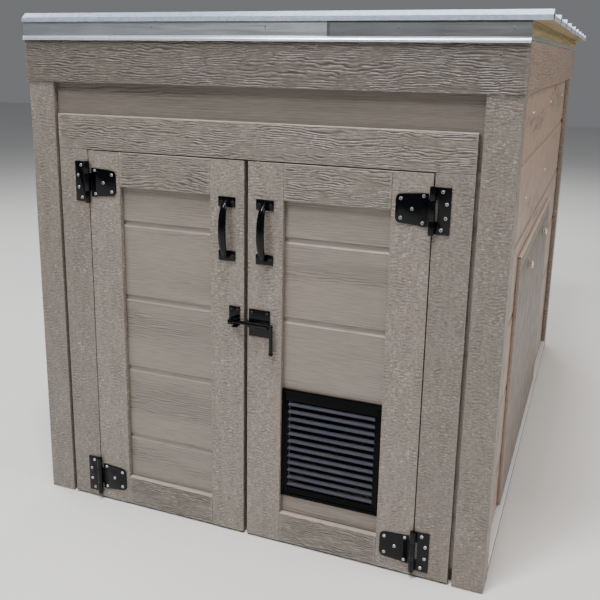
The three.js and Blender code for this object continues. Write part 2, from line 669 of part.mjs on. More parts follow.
function addControls() {
  const { left, right, front, rear, bottom, top } = cabinet;
  const shell = box(left, right, front, rear, bottom, top);
  const [footFront, footRear] = [front + pedestal.frontInset, rear - pedestal.rearInset];
  const foot = box(pedestal.left, pedestal.right, footFront, footRear, padTop + gap, bottom + 2);
  const pocket = (part) => {
    const halfWide = part.width / 2 + 1;
    const halfTall = part.height / 2 + 1;
    const deep = front + part.pocket;
    const [low, high] = [part.z - halfTall, part.z + halfTall];
    return box(part.x - halfWide, part.x + halfWide, front - 5, deep, low, high);
  };
  add('control_box', cut(join(shell, foot), pocket(startSwitch), pocket(breaker)), sheetGrey);

  const { x, z, width, height } = startSwitch;
  const tip = height / 2 - rocker.tipMargin;
  const shoulder = height / 2 - rocker.backMargin;
  const section = outline([
    [front - rocker.upper, z + tip], [front - rocker.middle, z], [front - rocker.lower, z - tip],
    [front + rocker.shoulder, z - shoulder], [front + rocker.depth, z],
    [front + rocker.shoulder, z + shoulder],
  ]);
  add('start_switch', extrudeAcross(section, x - width / 2, x + width / 2), blackPlastic);

  const [hubLeft, hubRight] = [breaker.x - breaker.width / 2, breaker.x + breaker.width / 2];
  const hub = rod('x', breaker.hubRadius, hubLeft, hubRight, front + breaker.hubDepth, breaker.z, 18);
  const [leverLeft, leverRight] = [breaker.x - lever.half, breaker.x + lever.half];
  const [leverFront, leverRear] = [front - lever.proud, front + lever.root];
  const [leverLow, leverHigh] = [breaker.z + lever.bottom, breaker.z + lever.top];
  const arm = box(leverLeft, leverRight, leverFront, leverRear, leverLow, leverHigh);
  add('breaker_lever', join(hub, arm), blackPlastic);
}

const battery = { left: -560, right: -362, front: -380, rear: -250, height: 178 };
const terminal = { radius: 8, height: 14, fromEnd: 30, fromFront: 35 };

function addBattery() {
  const { left, right, front, rear, height } = battery;
  const bottom = level.floorTop + gap;
  const top = bottom + height;
  const { radius, height: rise, fromFront } = terminal;
  const post = (x) => rod('z', radius, top - 1, top + rise, x, front + fromFront, 12);
  const posts = [left + terminal.fromEnd, right - terminal.fromEnd].map(post);
  add('battery', join(box(left, right, front, rear, bottom, top), ...posts), blackPlastic);
}

// ---- everything ---------------------------------------------------------------------------------

addBase();
addPosts();
addSiding();
addCornerBoards();
addTrim();
addRoof();
for (const [name, side] of sides) {
  addDoor(name, side);
  addHinge(`upper_${name}`, side, hinge.upperZ);
  addHinge(`lower_${name}`, side, hinge.lowerZ);
  addPullHandle(name, side);
}
addVent();
addLatch();
addAccessPanel();
add('generator_pad', box(pad.left, pad.right, pad.front, pad.rear, level.floorTop + gap, padTop), padGrey);
addEngine();
addBlowerHousing();
addCrankAndRotor();
addAlternator();
addExhaust();
addAirCleaner();
addControls();
addBattery();

export default enclosure;
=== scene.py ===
import bmesh
import bpy
import math
from mathutils import Matrix, Vector, noise


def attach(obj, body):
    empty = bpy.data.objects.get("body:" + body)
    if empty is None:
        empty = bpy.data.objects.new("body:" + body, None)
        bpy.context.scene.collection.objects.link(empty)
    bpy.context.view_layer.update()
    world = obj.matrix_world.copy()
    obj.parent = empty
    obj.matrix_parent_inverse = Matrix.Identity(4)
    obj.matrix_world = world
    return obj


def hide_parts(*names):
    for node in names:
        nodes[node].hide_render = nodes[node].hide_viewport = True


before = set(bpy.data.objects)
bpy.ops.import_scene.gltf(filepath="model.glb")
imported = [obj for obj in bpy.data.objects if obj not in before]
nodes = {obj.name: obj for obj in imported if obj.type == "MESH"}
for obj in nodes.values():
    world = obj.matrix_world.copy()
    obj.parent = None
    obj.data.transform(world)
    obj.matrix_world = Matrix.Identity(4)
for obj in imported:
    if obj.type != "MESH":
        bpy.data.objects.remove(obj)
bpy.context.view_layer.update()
print("frame loaded:", len(nodes), "CAD nodes")

sides = {"left": -1, "right": 1}
axisNumber = {"x": 0, "y": 1, "z": 2}


viewpoint = {
    "location": (0.7963, -2.6649, 1.2531),
    "yaw": 0.3856,       # to the left, radians
    "pitch": 0.2377,     # downwards
    "roll": 0.014,
    "lens": 47.556,
    "sensor": 36,
    "shift": (0.0301, -0.0858),
}


def placeCamera():
    data = bpy.data.cameras.new("camera")
    camera = bpy.data.objects.new("camera", data)
    bpy.context.scene.collection.objects.link(camera)
    bpy.context.scene.camera = camera
    yaw, pitch, roll = viewpoint["yaw"], viewpoint["pitch"], viewpoint["roll"]
    ahead = Vector((-math.sin(yaw) * math.cos(pitch), math.cos(yaw) * math.cos(pitch), -math.sin(pitch)))
    right = Vector((math.cos(yaw), math.sin(yaw), 0))
    up = right.cross(ahead)
    rolledRight = right * math.cos(roll) + up * math.sin(roll)
    rolledUp = up * math.cos(roll) - right * math.sin(roll)
    turn = Matrix((rolledRight, rolledUp, -ahead)).transposed().to_4x4()
    camera.matrix_world = Matrix.Translation(viewpoint["location"]) @ turn
    data.lens = viewpoint["lens"]
    data.sensor_width = viewpoint["sensor"]
    data.shift_x, data.shift_y = viewpoint["shift"]


lamps = {
    "key": {"at": (-0.9, -3.3, 4.3), "aim": (0, -0.9, 0.5), "size": 0.9, "watts": 120},
    "grazing": {"at": (0.3, -2.1, 4.9), "aim": (0, -0.9, 0.5), "size": 0.8, "watts": 150},
    "right": {"at": (3.6, -0.9, 3.3), "aim": (0.6, 0, 0.6), "size": 1.6, "watts": 100,
              "color": (1, 0.9, 0.82)},
    "left": {"at": (-3.8, 0.6, 3.2), "aim": (-0.6, 0, 0.6), "size": 2.2, "watts": 70},
    "back": {"at": (-1.0, 4.4, 3.8), "aim": (0, 0.9, 0.6), "size": 2.2, "watts": 90},
    "top": {"at": (0.2, 0.2, 5.2), "aim": (0, 0, 1), "size": 3.2, "watts": 60},
}
sky = {"color": (0.86, 0.88, 0.92, 1), "strength": 0.2}


def placeLamps():
    for name, lamp in lamps.items():
        light = bpy.data.lights.new(name, "AREA")
        light.size = lamp["size"]
        light.energy = lamp["watts"]
        light.color = lamp.get("color", (1, 1, 1))
        holder = bpy.data.objects.new(name + "Lamp", light)
        bpy.context.scene.collection.objects.link(holder)
        holder.location = lamp["at"]
        holder.rotation_euler = (Vector(lamp["aim"]) - Vector(lamp["at"])).to_track_quat("-Z", "Y").to_euler()
    world = bpy.data.worlds.new("studio")
    world.use_nodes = True
    background = world.node_tree.nodes["Background"]
    background.inputs["Color"].default_value = sky["color"]
    background.inputs["Strength"].default_value = sky["strength"]
    bpy.context.scene.world = world


class Recipe:
    # a material under construction: its nodes, its shader and one pattern space in object coordinates
    def __init__(self, name, metallic=0.0, specular=0.5):
        self.material = bpy.data.materials.new(name)
        self.material.use_nodes = True
        self.tree = self.material.node_tree
        self.shader = self.tree.nodes["Principled BSDF"]
        self.shader.inputs["Metallic"].default_value = metallic
        self.shader.inputs["Specular IOR Level"].default_value = specular
        self.coordinates = self.tree.nodes.new("ShaderNodeTexCoord").outputs["Object"]

    def node(self, kind, settings=None, **inputs):
        made = self.tree.nodes.new("ShaderNode" + kind)
        for name, value in (settings or {}).items():
            setattr(made, name, value)
        for name, value in inputs.items():
            socket = made.inputs[int(name[1:])] if name[0] == "_" else made.inputs[name.replace("_", " ")]
            if isinstance(value, bpy.types.NodeSocket):
                self.tree.links.new(value, socket)
            else:
                socket.default_value = value
        return made

    def stretched(self, scale):
        return self.node("Mapping", Vector=self.coordinates, Scale=scale).outputs[0]

    def cloud(self, scale, detail=3.0, roughness=0.55, stretch=(1, 1, 1), distortion=0.0):
        made = self.node("TexNoise", Vector=self.stretched(stretch), Scale=scale, Detail=detail,
                         Roughness=roughness, Distortion=distortion)
        return made.outputs[0]

    def ramp(self, value, low, high, start=0.3, end=0.7):
        made = self.node("MapRange", {"clamp": True}, Value=value)
        for place, number in ((1, start), (2, end), (3, low), (4, high)):
            made.inputs[place].default_value = number
        return made.outputs[0]

    def blendColors(self, value, first, second):
        made = self.tree.nodes.new("ShaderNodeMix")
        made.data_type = "RGBA"
        self.tree.links.new(value, made.inputs[0])
        for place, color in ((6, first), (7, second)):
            if isinstance(color, bpy.types.NodeSocket):
                self.tree.links.new(color, made.inputs[place])
            else:
                made.inputs[place].default_value = (*color, 1)
        return made.outputs[2]

    def combine(self, operation, first, second):
        return self.node("Math", {"operation": operation}, _0=first, _1=second).outputs[0]

    def weigh(self, first, firstShare, second, secondShare):
        shares = [self.combine("MULTIPLY", *pair) for pair in ((first, firstShare), (second, secondShare))]
        return self.combine("ADD", *shares)

    def waves(self, grain, length, scale, distortion, direction, finest):
        return self.node("TexWave", {"wave_type": "BANDS", "bands_direction": direction},
                         Vector=self.stretched(alongGrain(grain, length)), Scale=scale, Distortion=distortion,
                         Detail=3.0, Detail_Scale=finest[0], Detail_Roughness=finest[1]).outputs["Fac"]

    def shadeByGrain(self, base, deep, start=0.35, end=0.95):
        # painted shade: darker in the hollows of the pressed grain, as kept in the hollow attribute
        depth = self.node("Attribute", {"attribute_name": "hollow"}).outputs["Fac"]
        return self.blendColors(self.ramp(depth, 0.0, 1.0, start, end), base, deep)

    def color(self, socket):
        self.tree.links.new(socket, self.shader.inputs["Base Color"])

    def roughness(self, socket):
        self.tree.links.new(socket, self.shader.inputs["Roughness"])

    def bump(self, height, distance, strength=1.0):
        made = self.node("Bump", Height=height, Distance=distance, Strength=strength)
        self.tree.links.new(made.outputs[0], self.shader.inputs["Normal"])


def linear(*screen):
    # a colour as a screen shows it, 0 to 255, in the renderer's own linear scale
    return tuple((c / 255 / 12.92) if c < 11 else ((c / 255 + 0.055) / 1.055) ** 2.4 for c in screen)


def take(values, names):
    return [values[name] for name in names.split()]


# the light crest colour is painted onto grain crests as glints
taupe = {"main": linear(139, 130, 121), "sideLitPink": linear(168, 136, 117), "paintedGlint": linear(196, 187, 176),
         "cool": (1.11, 1.17, 1.14), "warm": (1.23, 1.17, 1.19)}    # the last two multiply the coat


def alongGrain(grain, length):
    # scale 1 across the grain and less along it
    stretch = [1, 1, 1]
    stretch[axisNumber[grain]] = length
    return tuple(stretch)


def shade(color, factor):
    return [c * factor for c in color]


def tinted(tint, dim):
    # the taupe, moved towards pink by tint, and darkened or lightened by dim; the pink tint on side-facing
    # paints stands in for the warmer light on the side walls, and dim carries painted shade and highlights on
    # some paints
    return [(a + (b - a) * tint) * dim for a, b in zip(taupe["main"], taupe["sideLitPink"])]


def finishPaint(made, base, grimeScale, grime, dirt, gloss=(30, 0.36, 0.5), start=0.52):
    # a little grime in patches over the colour, and an uneven gloss
    patches = made.ramp(made.cloud(grimeScale, 5, 0.7), 0.0, grime, start, 0.75)
    made.color(made.blendColors(patches, base, dirt))
    made.roughness(made.ramp(made.cloud(gloss[0], 3), *gloss[1:]))
    return made.material


def embossedPaint(name, grain, relief=0.0012, tint=0.0, dim=1.0):
    # cedar-embossed board with two coats of paint; relief is the depth of the fine grain in metres
    made = Recipe(name)
    fibres = made.cloud(300, 3, 0.6, alongGrain(grain, 0.12), 0.6)
    stipple = made.cloud(170, 4, 0.65, alongGrain(grain, 0.35), 0.8)
    height = made.weigh(fibres, 0.6, stipple, 0.7)
    made.bump(height, relief)
    first = tinted(tint, dim)
    base = paintBase(made, first, 3.1)
    # painted shade where the grain lies low, painted glints on the crests in the light crest colour, then
    # more painted shade in the pressed hollows
    base = made.blendColors(made.ramp(height, 0.9, 0.0, 0.5, 0.78), base, shade(first, 0.62))
    base = made.blendColors(made.ramp(height, 0.0, 0.55, 0.72, 0.86), base, shade(taupe["paintedGlint"], dim))
    base = made.shadeByGrain(base, shade(first, 0.34), 0.4, 0.92)
    return finishPaint(made, base, 9, 0.3, shade(first, 0.75))


def paintBase(made, first, scale):
    # the coat varies slightly between greenish and pinkish grey
    fade = made.ramp(made.cloud(scale, 3, 0.6), 0.0, 1.0, 0.36, 0.64)
    cool, warm = ([a * b for a, b in zip(first, taupe[tone])] for tone in ("cool", "warm"))
    return made.blendColors(fade, cool, warm)


def mottledPaint(name, grain, dim=1.0):
    # upright trim boards: a pebbly face under the ripples, with painted glints on the crests and painted
    # shade in the hollows
    made = Recipe(name)
    pebbles = made.cloud(115, 3, 0.58, alongGrain(grain, 2.7), 0.5)
    fibres = made.cloud(420, 2, 0.6, alongGrain(grain, 0.15))
    height = made.weigh(pebbles, 0.9, fibres, 0.3)
    made.bump(height, 0.0012)
    first = shade(taupe["main"], 0.93 * dim)
    base = paintBase(made, first, 2.6)
    # painted shade where the pebbles lie low, painted glints on the ragged crests, and painted shade in the
    # pressed hollows
    base = made.blendColors(made.ramp(height, 0.8, 0.0, 0.47, 0.66), base, shade(first, 0.62))
    ragged = made.ramp(made.cloud(26, 3, 0.6), 0.15, 1.0, 0.45, 0.65)
    glintMask = made.combine("MULTIPLY", made.ramp(height, 0.0, 1.0, 0.67, 0.76), ragged)
    base = made.blendColors(glintMask, base, shade(taupe["paintedGlint"], dim))
    base = made.shadeByGrain(base, shade(first, 0.48), 0.4, 0.98)
    return finishPaint(made, base, 8, 0.25, shade(first, 0.75))


def smoothPaint(name, grain, tint=0.0, relief=0.0003, pressed=True, dim=1.0):
    # grooved siding sheet: fine long wavy grain, stronger in long streaks
    made = Recipe(name)
    fine = made.cloud(330, 3, 0.6, alongGrain(grain, 0.06))
    lines = made.waves(grain, 0.05, 52.0, 8.0, "Z", (0.8, 0.55))
    some = made.ramp(made.cloud(14, 3, 0.55, alongGrain(grain, 0.25)), 0.12, 1.0, 0.42, 0.66)
    streaks = made.combine("MULTIPLY", lines, some)
    made.bump(made.weigh(fine, 0.5, streaks, 0.6), relief, 0.9)
    first = tinted(tint, dim)
    base = paintBase(made, shade(first, 0.92), 2.2)
    # painted shade where the fine grain lies low, and in the troughs of the lines and the pressed hollows
    base = made.blendColors(made.ramp(fine, 0.55, 0.0, 0.38, 0.6), base, shade(first, 0.72))
    if pressed:
        troughs = made.combine("MULTIPLY", made.ramp(lines, 1.0, 0.0, 0.05, 0.5), some)
        base = made.blendColors(made.ramp(troughs, 0.0, 0.8, 0.1, 0.9), base, shade(first, 0.68))
        base = made.shadeByGrain(base, shade(first, 0.5), 0.3, 0.95)
    return finishPaint(made, base, 7, 0.22, shade(first, 0.8), (18, 0.38, 0.52), 0.5)


def sawnTimber(name, grain, light, dark):
    made = Recipe(name, specular=0.25)
    rings = made.waves(grain, 0.06, 17.0, 7.0, "Z" if grain != "z" else "Y", (1.0, 0.6))
    pores = made.cloud(260, 4, 0.65, alongGrain(grain, 0.05))
    tone = made.weigh(rings, 0.55, pores, 0.5)
    base = made.blendColors(made.ramp(tone, 0.0, 1.0, 0.25, 0.85), light, dark)
    knots = made.ramp(made.cloud(7, 2, 0.5, alongGrain(grain, 0.5)), 0.0, 0.8, 0.68, 0.78)
    made.color(made.blendColors(knots, base, shade(dark, 0.45)))
    made.roughness(made.ramp(pores, 0.72, 0.9))
    made.bump(made.combine("ADD", tone, pores), 0.0005, 0.7)
    return made.material


def sheetMetal(name, light, dark, rough, grain="x", spangle=60, metallic=0.9, relief=0.00006):
    # rolled and coated steel: faint spangle, rolling lines and dull smears
    made = Recipe(name, metallic=metallic)
    cells = made.node("TexVoronoi", {"feature": "F1"}, Vector=made.coordinates, Scale=spangle)
    cells = cells.outputs["Distance"]
    rolled = made.cloud(300, 3, 0.6, alongGrain(grain, 0.03))
    smear = made.cloud(6, 5, 0.7)
    tone = made.weigh(cells, 0.5, smear, 0.8)
    made.color(made.blendColors(made.ramp(tone, 0.0, 1.0, 0.4, 0.95), light, dark))
    made.roughness(made.ramp(made.combine("ADD", smear, rolled), rough * 0.75, rough * 1.35, 0.7, 1.3))
    made.bump(made.combine("ADD", rolled, made.combine("MULTIPLY", cells, 0.5)), relief, 0.6)
    return made.material


def coated(name, color, rough, grain, scale, metallic=0.0, wear=0.0, wearColor=None, specular=0.4):
    # powder coat, stove enamel or moulded plastic: orange peel, dust and a little wear on the edges
    made = Recipe(name, metallic=metallic, specular=specular)
    peel = made.cloud(scale, 2, 0.5)
    dust = made.ramp(made.cloud(14, 5, 0.7), 0.0, 0.5, 0.5, 0.8)
    base = made.blendColors(dust, color, [min(1.0, c * 1.3 + 0.0012) for c in color])
    if wear:
        edge = made.node("NewGeometry").outputs["Pointiness"]
        rubbed = made.combine("MULTIPLY", made.ramp(edge, 0.0, wear, 0.53, 0.62), made.cloud(90, 3))
        base = made.blendColors(rubbed, base, wearColor)
    made.color(base)
    made.roughness(made.ramp(made.cloud(35, 4), rough * 0.82, rough * 1.2))
    made.bump(peel, grain, 0.5)
    return made.material


def castMetal(name, color, rough, metallic=0.8):
    made = Recipe(name, metallic=metallic)
    grit = made.cloud(420, 4, 0.7)
    soot = made.ramp(made.cloud(11, 5, 0.7), 0.0, 0.75, 0.48, 0.75)
    made.color(made.blendColors(soot, color, shade(color, 0.5)))
    made.roughness(made.ramp(grit, rough * 0.85, rough * 1.25))
    made.bump(grit, 0.0003, 0.6)
    return made.material


def turnedMetal(name, color, rough):
    made = Recipe(name, metallic=1.0)
    cuts = made.cloud(900, 2, 0.5, (1, 0.05, 0.05))
    stain = made.ramp(made.cloud(25, 4, 0.6), 0.0, 0.5, 0.5, 0.8)
    made.color(made.blendColors(stain, color, shade(color, 0.6)))
    made.roughness(made.ramp(cuts, rough * 0.8, rough * 1.4))
    made.bump(cuts, 0.00006, 0.6)
    return made.material


def heatedSteel(name):
    # exhaust: blued and browned by heat in bands
    made = Recipe(name, metallic=0.9)
    heat = made.cloud(9, 4, 0.65)
    steel, browned, blued = linear(150, 142, 134), linear(122, 98, 78), linear(94, 84, 92)
    bands = made.blendColors(made.ramp(heat, 0.0, 1.0, 0.35, 0.65), steel, browned)
    made.color(made.blendColors(made.ramp(made.cloud(40, 5, 0.7), 0.0, 0.6, 0.5, 0.75), bands, blued))
    made.roughness(made.ramp(heat, 0.34, 0.55))
    made.bump(made.cloud(300, 4, 0.6), 0.00015, 0.5)
    return made.material


paint = {
    "frontRail": embossedPaint("frontRailPaint", "x", dim=0.92),
    # front and rear friezes take a darkened copy of the rail paint: painted shade from the roof overhang
    "frieze": embossedPaint("friezeShadePaint", "x", dim=0.64),
    # side-facing paints are tinted towards pink: the tint stands in for the warmer light on the side walls
    "sideRail": embossedPaint("sideRailPaint", "y", 0.0022, 0.45, 0.98),
    # a lighter copy of the sheet paint for top edges and the cover's front end: painted highlight
    "arrisHighlight": smoothPaint("arrisHighlightPaint", "x", relief=0.0002, pressed=False, dim=1.5),
    "upright": mottledPaint("uprightPaint", "z"),
    "corner": mottledPaint("cornerPaint", "z", 0.85),
    "frontSheet": smoothPaint("frontSheetPaint", "x"),
    "sideSheet": smoothPaint("sideSheetPaint", "y", 0.55),
    # the strip under the front frieze takes a darker copy of the sheet paint: painted shadow of the frieze
    "shaded": smoothPaint("friezeGapShadowPaint", "x", dim=0.72),
    "cover": smoothPaint("coverPaint", "y", 0.35, 0.0001, False, 0.46),
    # a much lighter copy of the cover paint for its top edge: painted highlight
    "edge": smoothPaint("coverEdgeHighlightPaint", "y", 0.1, 0.0001, False, 2.4),
}
sawn = {"light": linear(164, 153, 116), "dark": linear(136, 124, 88)}
wood = {
    "frameX": sawnTimber("frameTimberAcross", "x", **sawn),
    "frameY": sawnTimber("frameTimberBack", "y", **sawn),
    "frameZ": sawnTimber("frameTimberUpright", "z", linear(178, 158, 112), linear(140, 116, 74)),
    "ply": sawnTimber("floorPlywood", "y", linear(160, 142, 112), linear(136, 116, 88)),
}
flat = {"spangle": 7, "metallic": 0.85, "relief": 0.00002}
metal = {
    "roof": sheetMetal("roofSteel", linear(222, 236, 255), linear(190, 208, 238), 0.28, "x", 90, 0.55),
    "flashing": sheetMetal("flashingSteel", linear(182, 187, 192), linear(160, 165, 170), 0.4, **flat),
    # a darker copy of the same flashing, for the right length and its lap strip
    "flashingDark": sheetMetal("flashingSteelDarker", linear(126, 128, 130), linear(104, 106, 108), 0.42,
                               **flat),
    # a lighter copy of the flashing for the folded hem: painted highlight along the lip
    "hem": sheetMetal("foldedHemHighlight", linear(232, 240, 250), linear(206, 216, 230), 0.26, "x", 7, 0.55, 0.00002),
    "ledge": sheetMetal("ledgeSteel", linear(250, 252, 255), linear(228, 234, 244), 0.36, "y", 70, 0.15),
    "zinc": castMetal("zincScrew", linear(196, 198, 200), 0.35, 0.9),
    "alloy": castMetal("engineAlloy", linear(158, 160, 162), 0.46),
    "turned": turnedMetal("turnedSteel", linear(184, 186, 190), 0.24),
    "exhaust": heatedSteel("exhaustSteel"),
    "copper": castMetal("windingCopper", linear(168, 92, 52), 0.4, 0.85),
    "brass": castMetal("brassTerminal", linear(190, 160, 90), 0.35, 0.95),
}
coat = {
    "black": coated("blackHardware", (0.0004, 0.0006, 0.0014), 0.17, 0.00004, 320, wear=0.2,
                    wearColor=linear(24, 26, 32), specular=0.24),
    "blackScrew": coated("blackScrew", linear(52, 54, 60), 0.3, 0.00003, 320, metallic=0.7),
    "louvre": coated("louvreBlack", (0.0003, 0.0004, 0.0008), 0.22, 0.00004, 300, specular=0.07),
    # the blades are the frame's black plastic coloured grey-blue: painted reflection of the light from above
    # on their sloping faces
    "blade": coated("louvreBladeReflection", linear(62, 64, 75), 0.6, 0.00005, 300, specular=0.15),
    # near black for sunk recesses, slots and holes as painted shade; the meter's dial marks use it as print
    "recess": coated("recessShadeAndDialPrint", linear(8, 8, 9), 0.6, 0.00005, 200),
    "cabinet": coated("cabinetEnamel", linear(108, 114, 118), 0.4, 0.0001, 380, wear=0.35,
                      wearColor=linear(150, 152, 154)),
    "plastic": coated("blackPlastic", linear(26, 27, 29), 0.52, 0.00016, 520),
    "rubber": coated("agedRubber", linear(22, 22, 22), 0.8, 0.0003, 300),
    "pad": coated("compositePad", linear(134, 136, 138), 0.86, 0.0008, 190),
    "red": coated("redCap", linear(150, 26, 22), 0.45, 0.0001, 300),
    "knob": coated("coverKnob", linear(228, 216, 204), 0.3, 0.00008, 300),
    "glass": coated("gaugeFace", linear(222, 222, 214), 0.2, 0.00003, 100),
}
print("materials made:", len(bpy.data.materials))


def boxPart(low, high, ease=0.0, segments=2):
    bm = bmesh.new()
    bmesh.ops.create_cube(bm, size=1)
    low, high = Vector(low), Vector(high)
    bmesh.ops.scale(bm, vec=high - low, verts=bm.verts)
    bmesh.ops.translate(bm, vec=(low + high) / 2, verts=bm.verts)
    if ease:
        bmesh.ops.bevel(bm, geom=bm.edges[:], offset=ease, segments=segments, profile=0.5, affect="EDGES",
                        material=-1)
    return bm


turnTo = {
    "x": Matrix.Rotation(math.pi / 2, 3, "Y"),
    "y": Matrix.Rotation(-math.pi / 2, 3, "X"),
    "z": Matrix.Identity(3),
}


def rodPart(axis, radius, start, end, at, steps=24, ease=0.0, topRadius=None):
    # at is the other two coordinates, in order
    bm = bmesh.new()
    bmesh.ops.create_cone(bm, cap_ends=True, segments=steps, radius1=radius,
                          radius2=radius if topRadius is None else topRadius, depth=end - start)
    if ease:
        rims = [e for e in bm.edges if abs(e.verts[0].co.z - e.verts[1].co.z) < 1e-9]
        bmesh.ops.bevel(bm, geom=rims, offset=ease, segments=2, profile=0.5, affect="EDGES", material=-1)
    bmesh.ops.rotate(bm, cent=(0, 0, 0), matrix=turnTo[axis], verts=bm.verts)
    centre = list(at)
    centre.insert(axisNumber[axis], (start + end) / 2)
    bmesh.ops.translate(bm, vec=centre, verts=bm.verts)
    return bm


def turnedPart(profile, axis, at, steps=32):
    # a closed outline of (radius, place along the axis), spun a full turn
    bm = bmesh.new()
    ring = [bm.verts.new((radius, 0, along)) for radius, along in profile]
    edges = [bm.edges.new((a, b)) for a, b in zip(ring, ring[1:])]
    if profile[0][0] > 1e-6:
        edges.append(bm.edges.new((ring[-1], ring[0])))
    bmesh.ops.spin(bm, geom=ring + edges, cent=(0, 0, 0), axis=(0, 0, 1), angle=math.tau, steps=steps,
                   use_merge=True, use_duplicate=False)
    bmesh.ops.remove_doubles(bm, verts=bm.verts, dist=1e-6)
    bmesh.ops.recalc_face_normals(bm, faces=bm.faces)
    bmesh.ops.rotate(bm, cent=(0, 0, 0), matrix=turnTo[axis], verts=bm.verts)
    centre = list(at)
    centre.insert(axisNumber[axis], 0)
    bmesh.ops.translate(bm, vec=centre, verts=bm.verts)
    return bm


def freshPoints(grown):
    return [v for v in grown["geom"] if isinstance(v, bmesh.types.BMVert)]


def sweptPart(axis, start, end, section, ease=0.0, steps=1, split=0.0, outwards=()):
    # pushes a flat outline along an axis; split is the longest edge left on the sides that look outwards
    def place(a, b):
        spot = [a, b]
        spot.insert(axisNumber[axis], start)
        return spot

    bm = bmesh.new()
    corners = [bm.verts.new(place(a, b)) for a, b in section]
    bm.faces.new(corners)
    if ease:
        bmesh.ops.bevel(bm, geom=corners, offset=ease, segments=2, profile=0.5, affect="VERTICES",
                        material=-1, clamp_overlap=True)
    for out in [Vector(outward) for outward in outwards]:
        reach = max(v.co.dot(out) for v in bm.verts) - 1e-6
        for edge in [e for e in bm.edges if all(v.co.dot(out) > reach for v in e.verts)]:
            cuts = round(edge.calc_length() / split) - 1
            if cuts > 0:
                bmesh.ops.subdivide_edges(bm, edges=[edge], cuts=cuts)
    push = Vector((0, 0, 0))
    push[axisNumber[axis]] = (end - start) / steps
    bmesh.ops.spin(bm, geom=bm.verts[:] + bm.edges[:] + bm.faces[:], cent=(0, 0, 0), axis=(0, 0, 1), angle=0,
                   dvec=push, steps=steps, use_duplicate=False)
    bmesh.ops.recalc_face_normals(bm, faces=bm.faces)
    return bm


grainPitch = {"ridges": 0.0058, "scallops": 0.0078}     # metres from one line or ripple to the next


def ridges(along, across, seed):
    # wavy lines of cedar grain that split, join and fade out
    drift = noise.noise(Vector((along * 6, across * 18, seed)))
    shift = noise.noise(Vector((along * 40, across * 80, seed + 2.9)))
    patch = noise.noise(Vector((along * 12, across * 60, seed + 7.3)))
    line = math.sin(math.tau * (across / grainPitch["ridges"] + 2.2 * drift + 0.75 * shift))
    return 0.5 + 0.5 * math.copysign(abs(line) ** 0.6, line) * min(1, max(0.3, 0.78 + 1.6 * patch))


def faintRidges(along, across, seed):
    # planed face where the grain shows faintly, and stronger in long streaks
    patch = noise.noise(Vector((along * 1.6, across * 13, seed + 4.1)))
    return 1 - (1 - ridges(along * 0.5, across * 0.9, seed)) * min(1, max(0.28, 0.36 + 1.7 * patch))


def scallops(along, across, seed):
    # pebbly face with short ripples across the board in ragged columns
    column = noise.noise(Vector((along * 9, across * 46, seed)))
    drift = noise.noise(Vector((along * 26, across * 52, seed + 3.3)))
    ripple = math.sin(math.tau * (along / grainPitch["scallops"] + 1.2 * drift))
    pebble = noise.noise(Vector((along * 170, across * 130, seed + 5.7)))
    strength = min(1, max(0.12, 0.36 + 1.9 * column))
    return min(1, max(0, 0.6 + 0.46 * ripple * strength + 0.3 * pebble))


def emboss(bm, outward, grain, depth, pattern, seed=0.0):
    # presses the grain into the faces that look outwards, leaves their borders alone, and keeps how deep
    # each point lies for the paint, which darkens the hollows as painted shade
    bm.normal_update()
    out = Vector(outward)
    along = axisNumber[grain]
    across = next(i for i in range(3) if i != along and abs(out[i]) < 0.5)
    height = bm.verts.layers.float.get("hollow") or bm.verts.layers.float.new("hollow")
    for vert in bm.verts:
        if all(face.normal.dot(out) > 0.9 for face in vert.link_faces):
            level = pattern(vert.co[along], vert.co[across], seed)
            vert.co -= out * depth * (1 - level)
            vert[height] = 1 - level
    return bm


def boardPart(grain, start, end, section, outwards, depth, pattern=ridges, seed=0.0, stride=0.01, split=0.002,
              ease=0.0014):
    # a board with eased corners and its grain pressed into the sides that look outwards
    tip = 0.0008
    steps = max(1, round((end - start) / stride))
    bm = sweptPart(grain, start + tip, end - tip, section, ease, steps, split, outwards)
    bm.normal_update()
    lengthwise = axisNumber[grain]
    caps = [f for f in bm.faces if abs(f.normal[lengthwise]) > 0.99]
    bmesh.ops.inset_individual(bm, faces=caps, thickness=tip, depth=tip)
    for outward in outwards:
        emboss(bm, outward, grain, depth, pattern, seed)
    # faces looking upwards take index 1, for a lighter paint: a painted highlight along top edges
    for face in bm.faces:                # the top edge can take a paint of its own
        face.material_index = 1 if face.normal.z > 0.3 else 0
    return bm


def aimed(bm, outward, place):
    # turns a shape made looking up so that it looks outwards, and puts it in its place
    turn = Vector((0, 0, 1)).rotation_difference(Vector(outward)).to_matrix()
    bmesh.ops.rotate(bm, cent=(0, 0, 0), matrix=turn, verts=bm.verts)
    bmesh.ops.translate(bm, vec=place, verts=bm.verts)
    return bm


def aboutX(bm, angle, centre):
    # turns a shape about the x axis, and moves it to the centre that it belongs to
    bmesh.ops.rotate(bm, cent=(0, 0, 0), matrix=Matrix.Rotation(angle, 3, "X"), verts=bm.verts)
    bmesh.ops.translate(bm, vec=centre, verts=bm.verts)
    return bm


def panHead(place, outward, radius=0.0045, height=0.0022):
    # screw head with a cross recess sunk in the middle; the sunk face takes index 1, for a near-black painted
    # shade
    bm = bmesh.new()
    bmesh.ops.create_cone(bm, cap_ends=True, segments=12, radius1=radius, radius2=radius * 0.72, depth=height)
    crown = max(bm.faces, key=lambda f: f.calc_center_median().z)
    bmesh.ops.inset_individual(bm, faces=[crown], thickness=radius * 0.3, depth=0)
    bmesh.ops.inset_individual(bm, faces=[crown], thickness=radius * 0.08, depth=-height * 0.7)
    crown.material_index = 1
    return aimed(bm, outward, Vector(place) + Vector(outward) * height / 2)


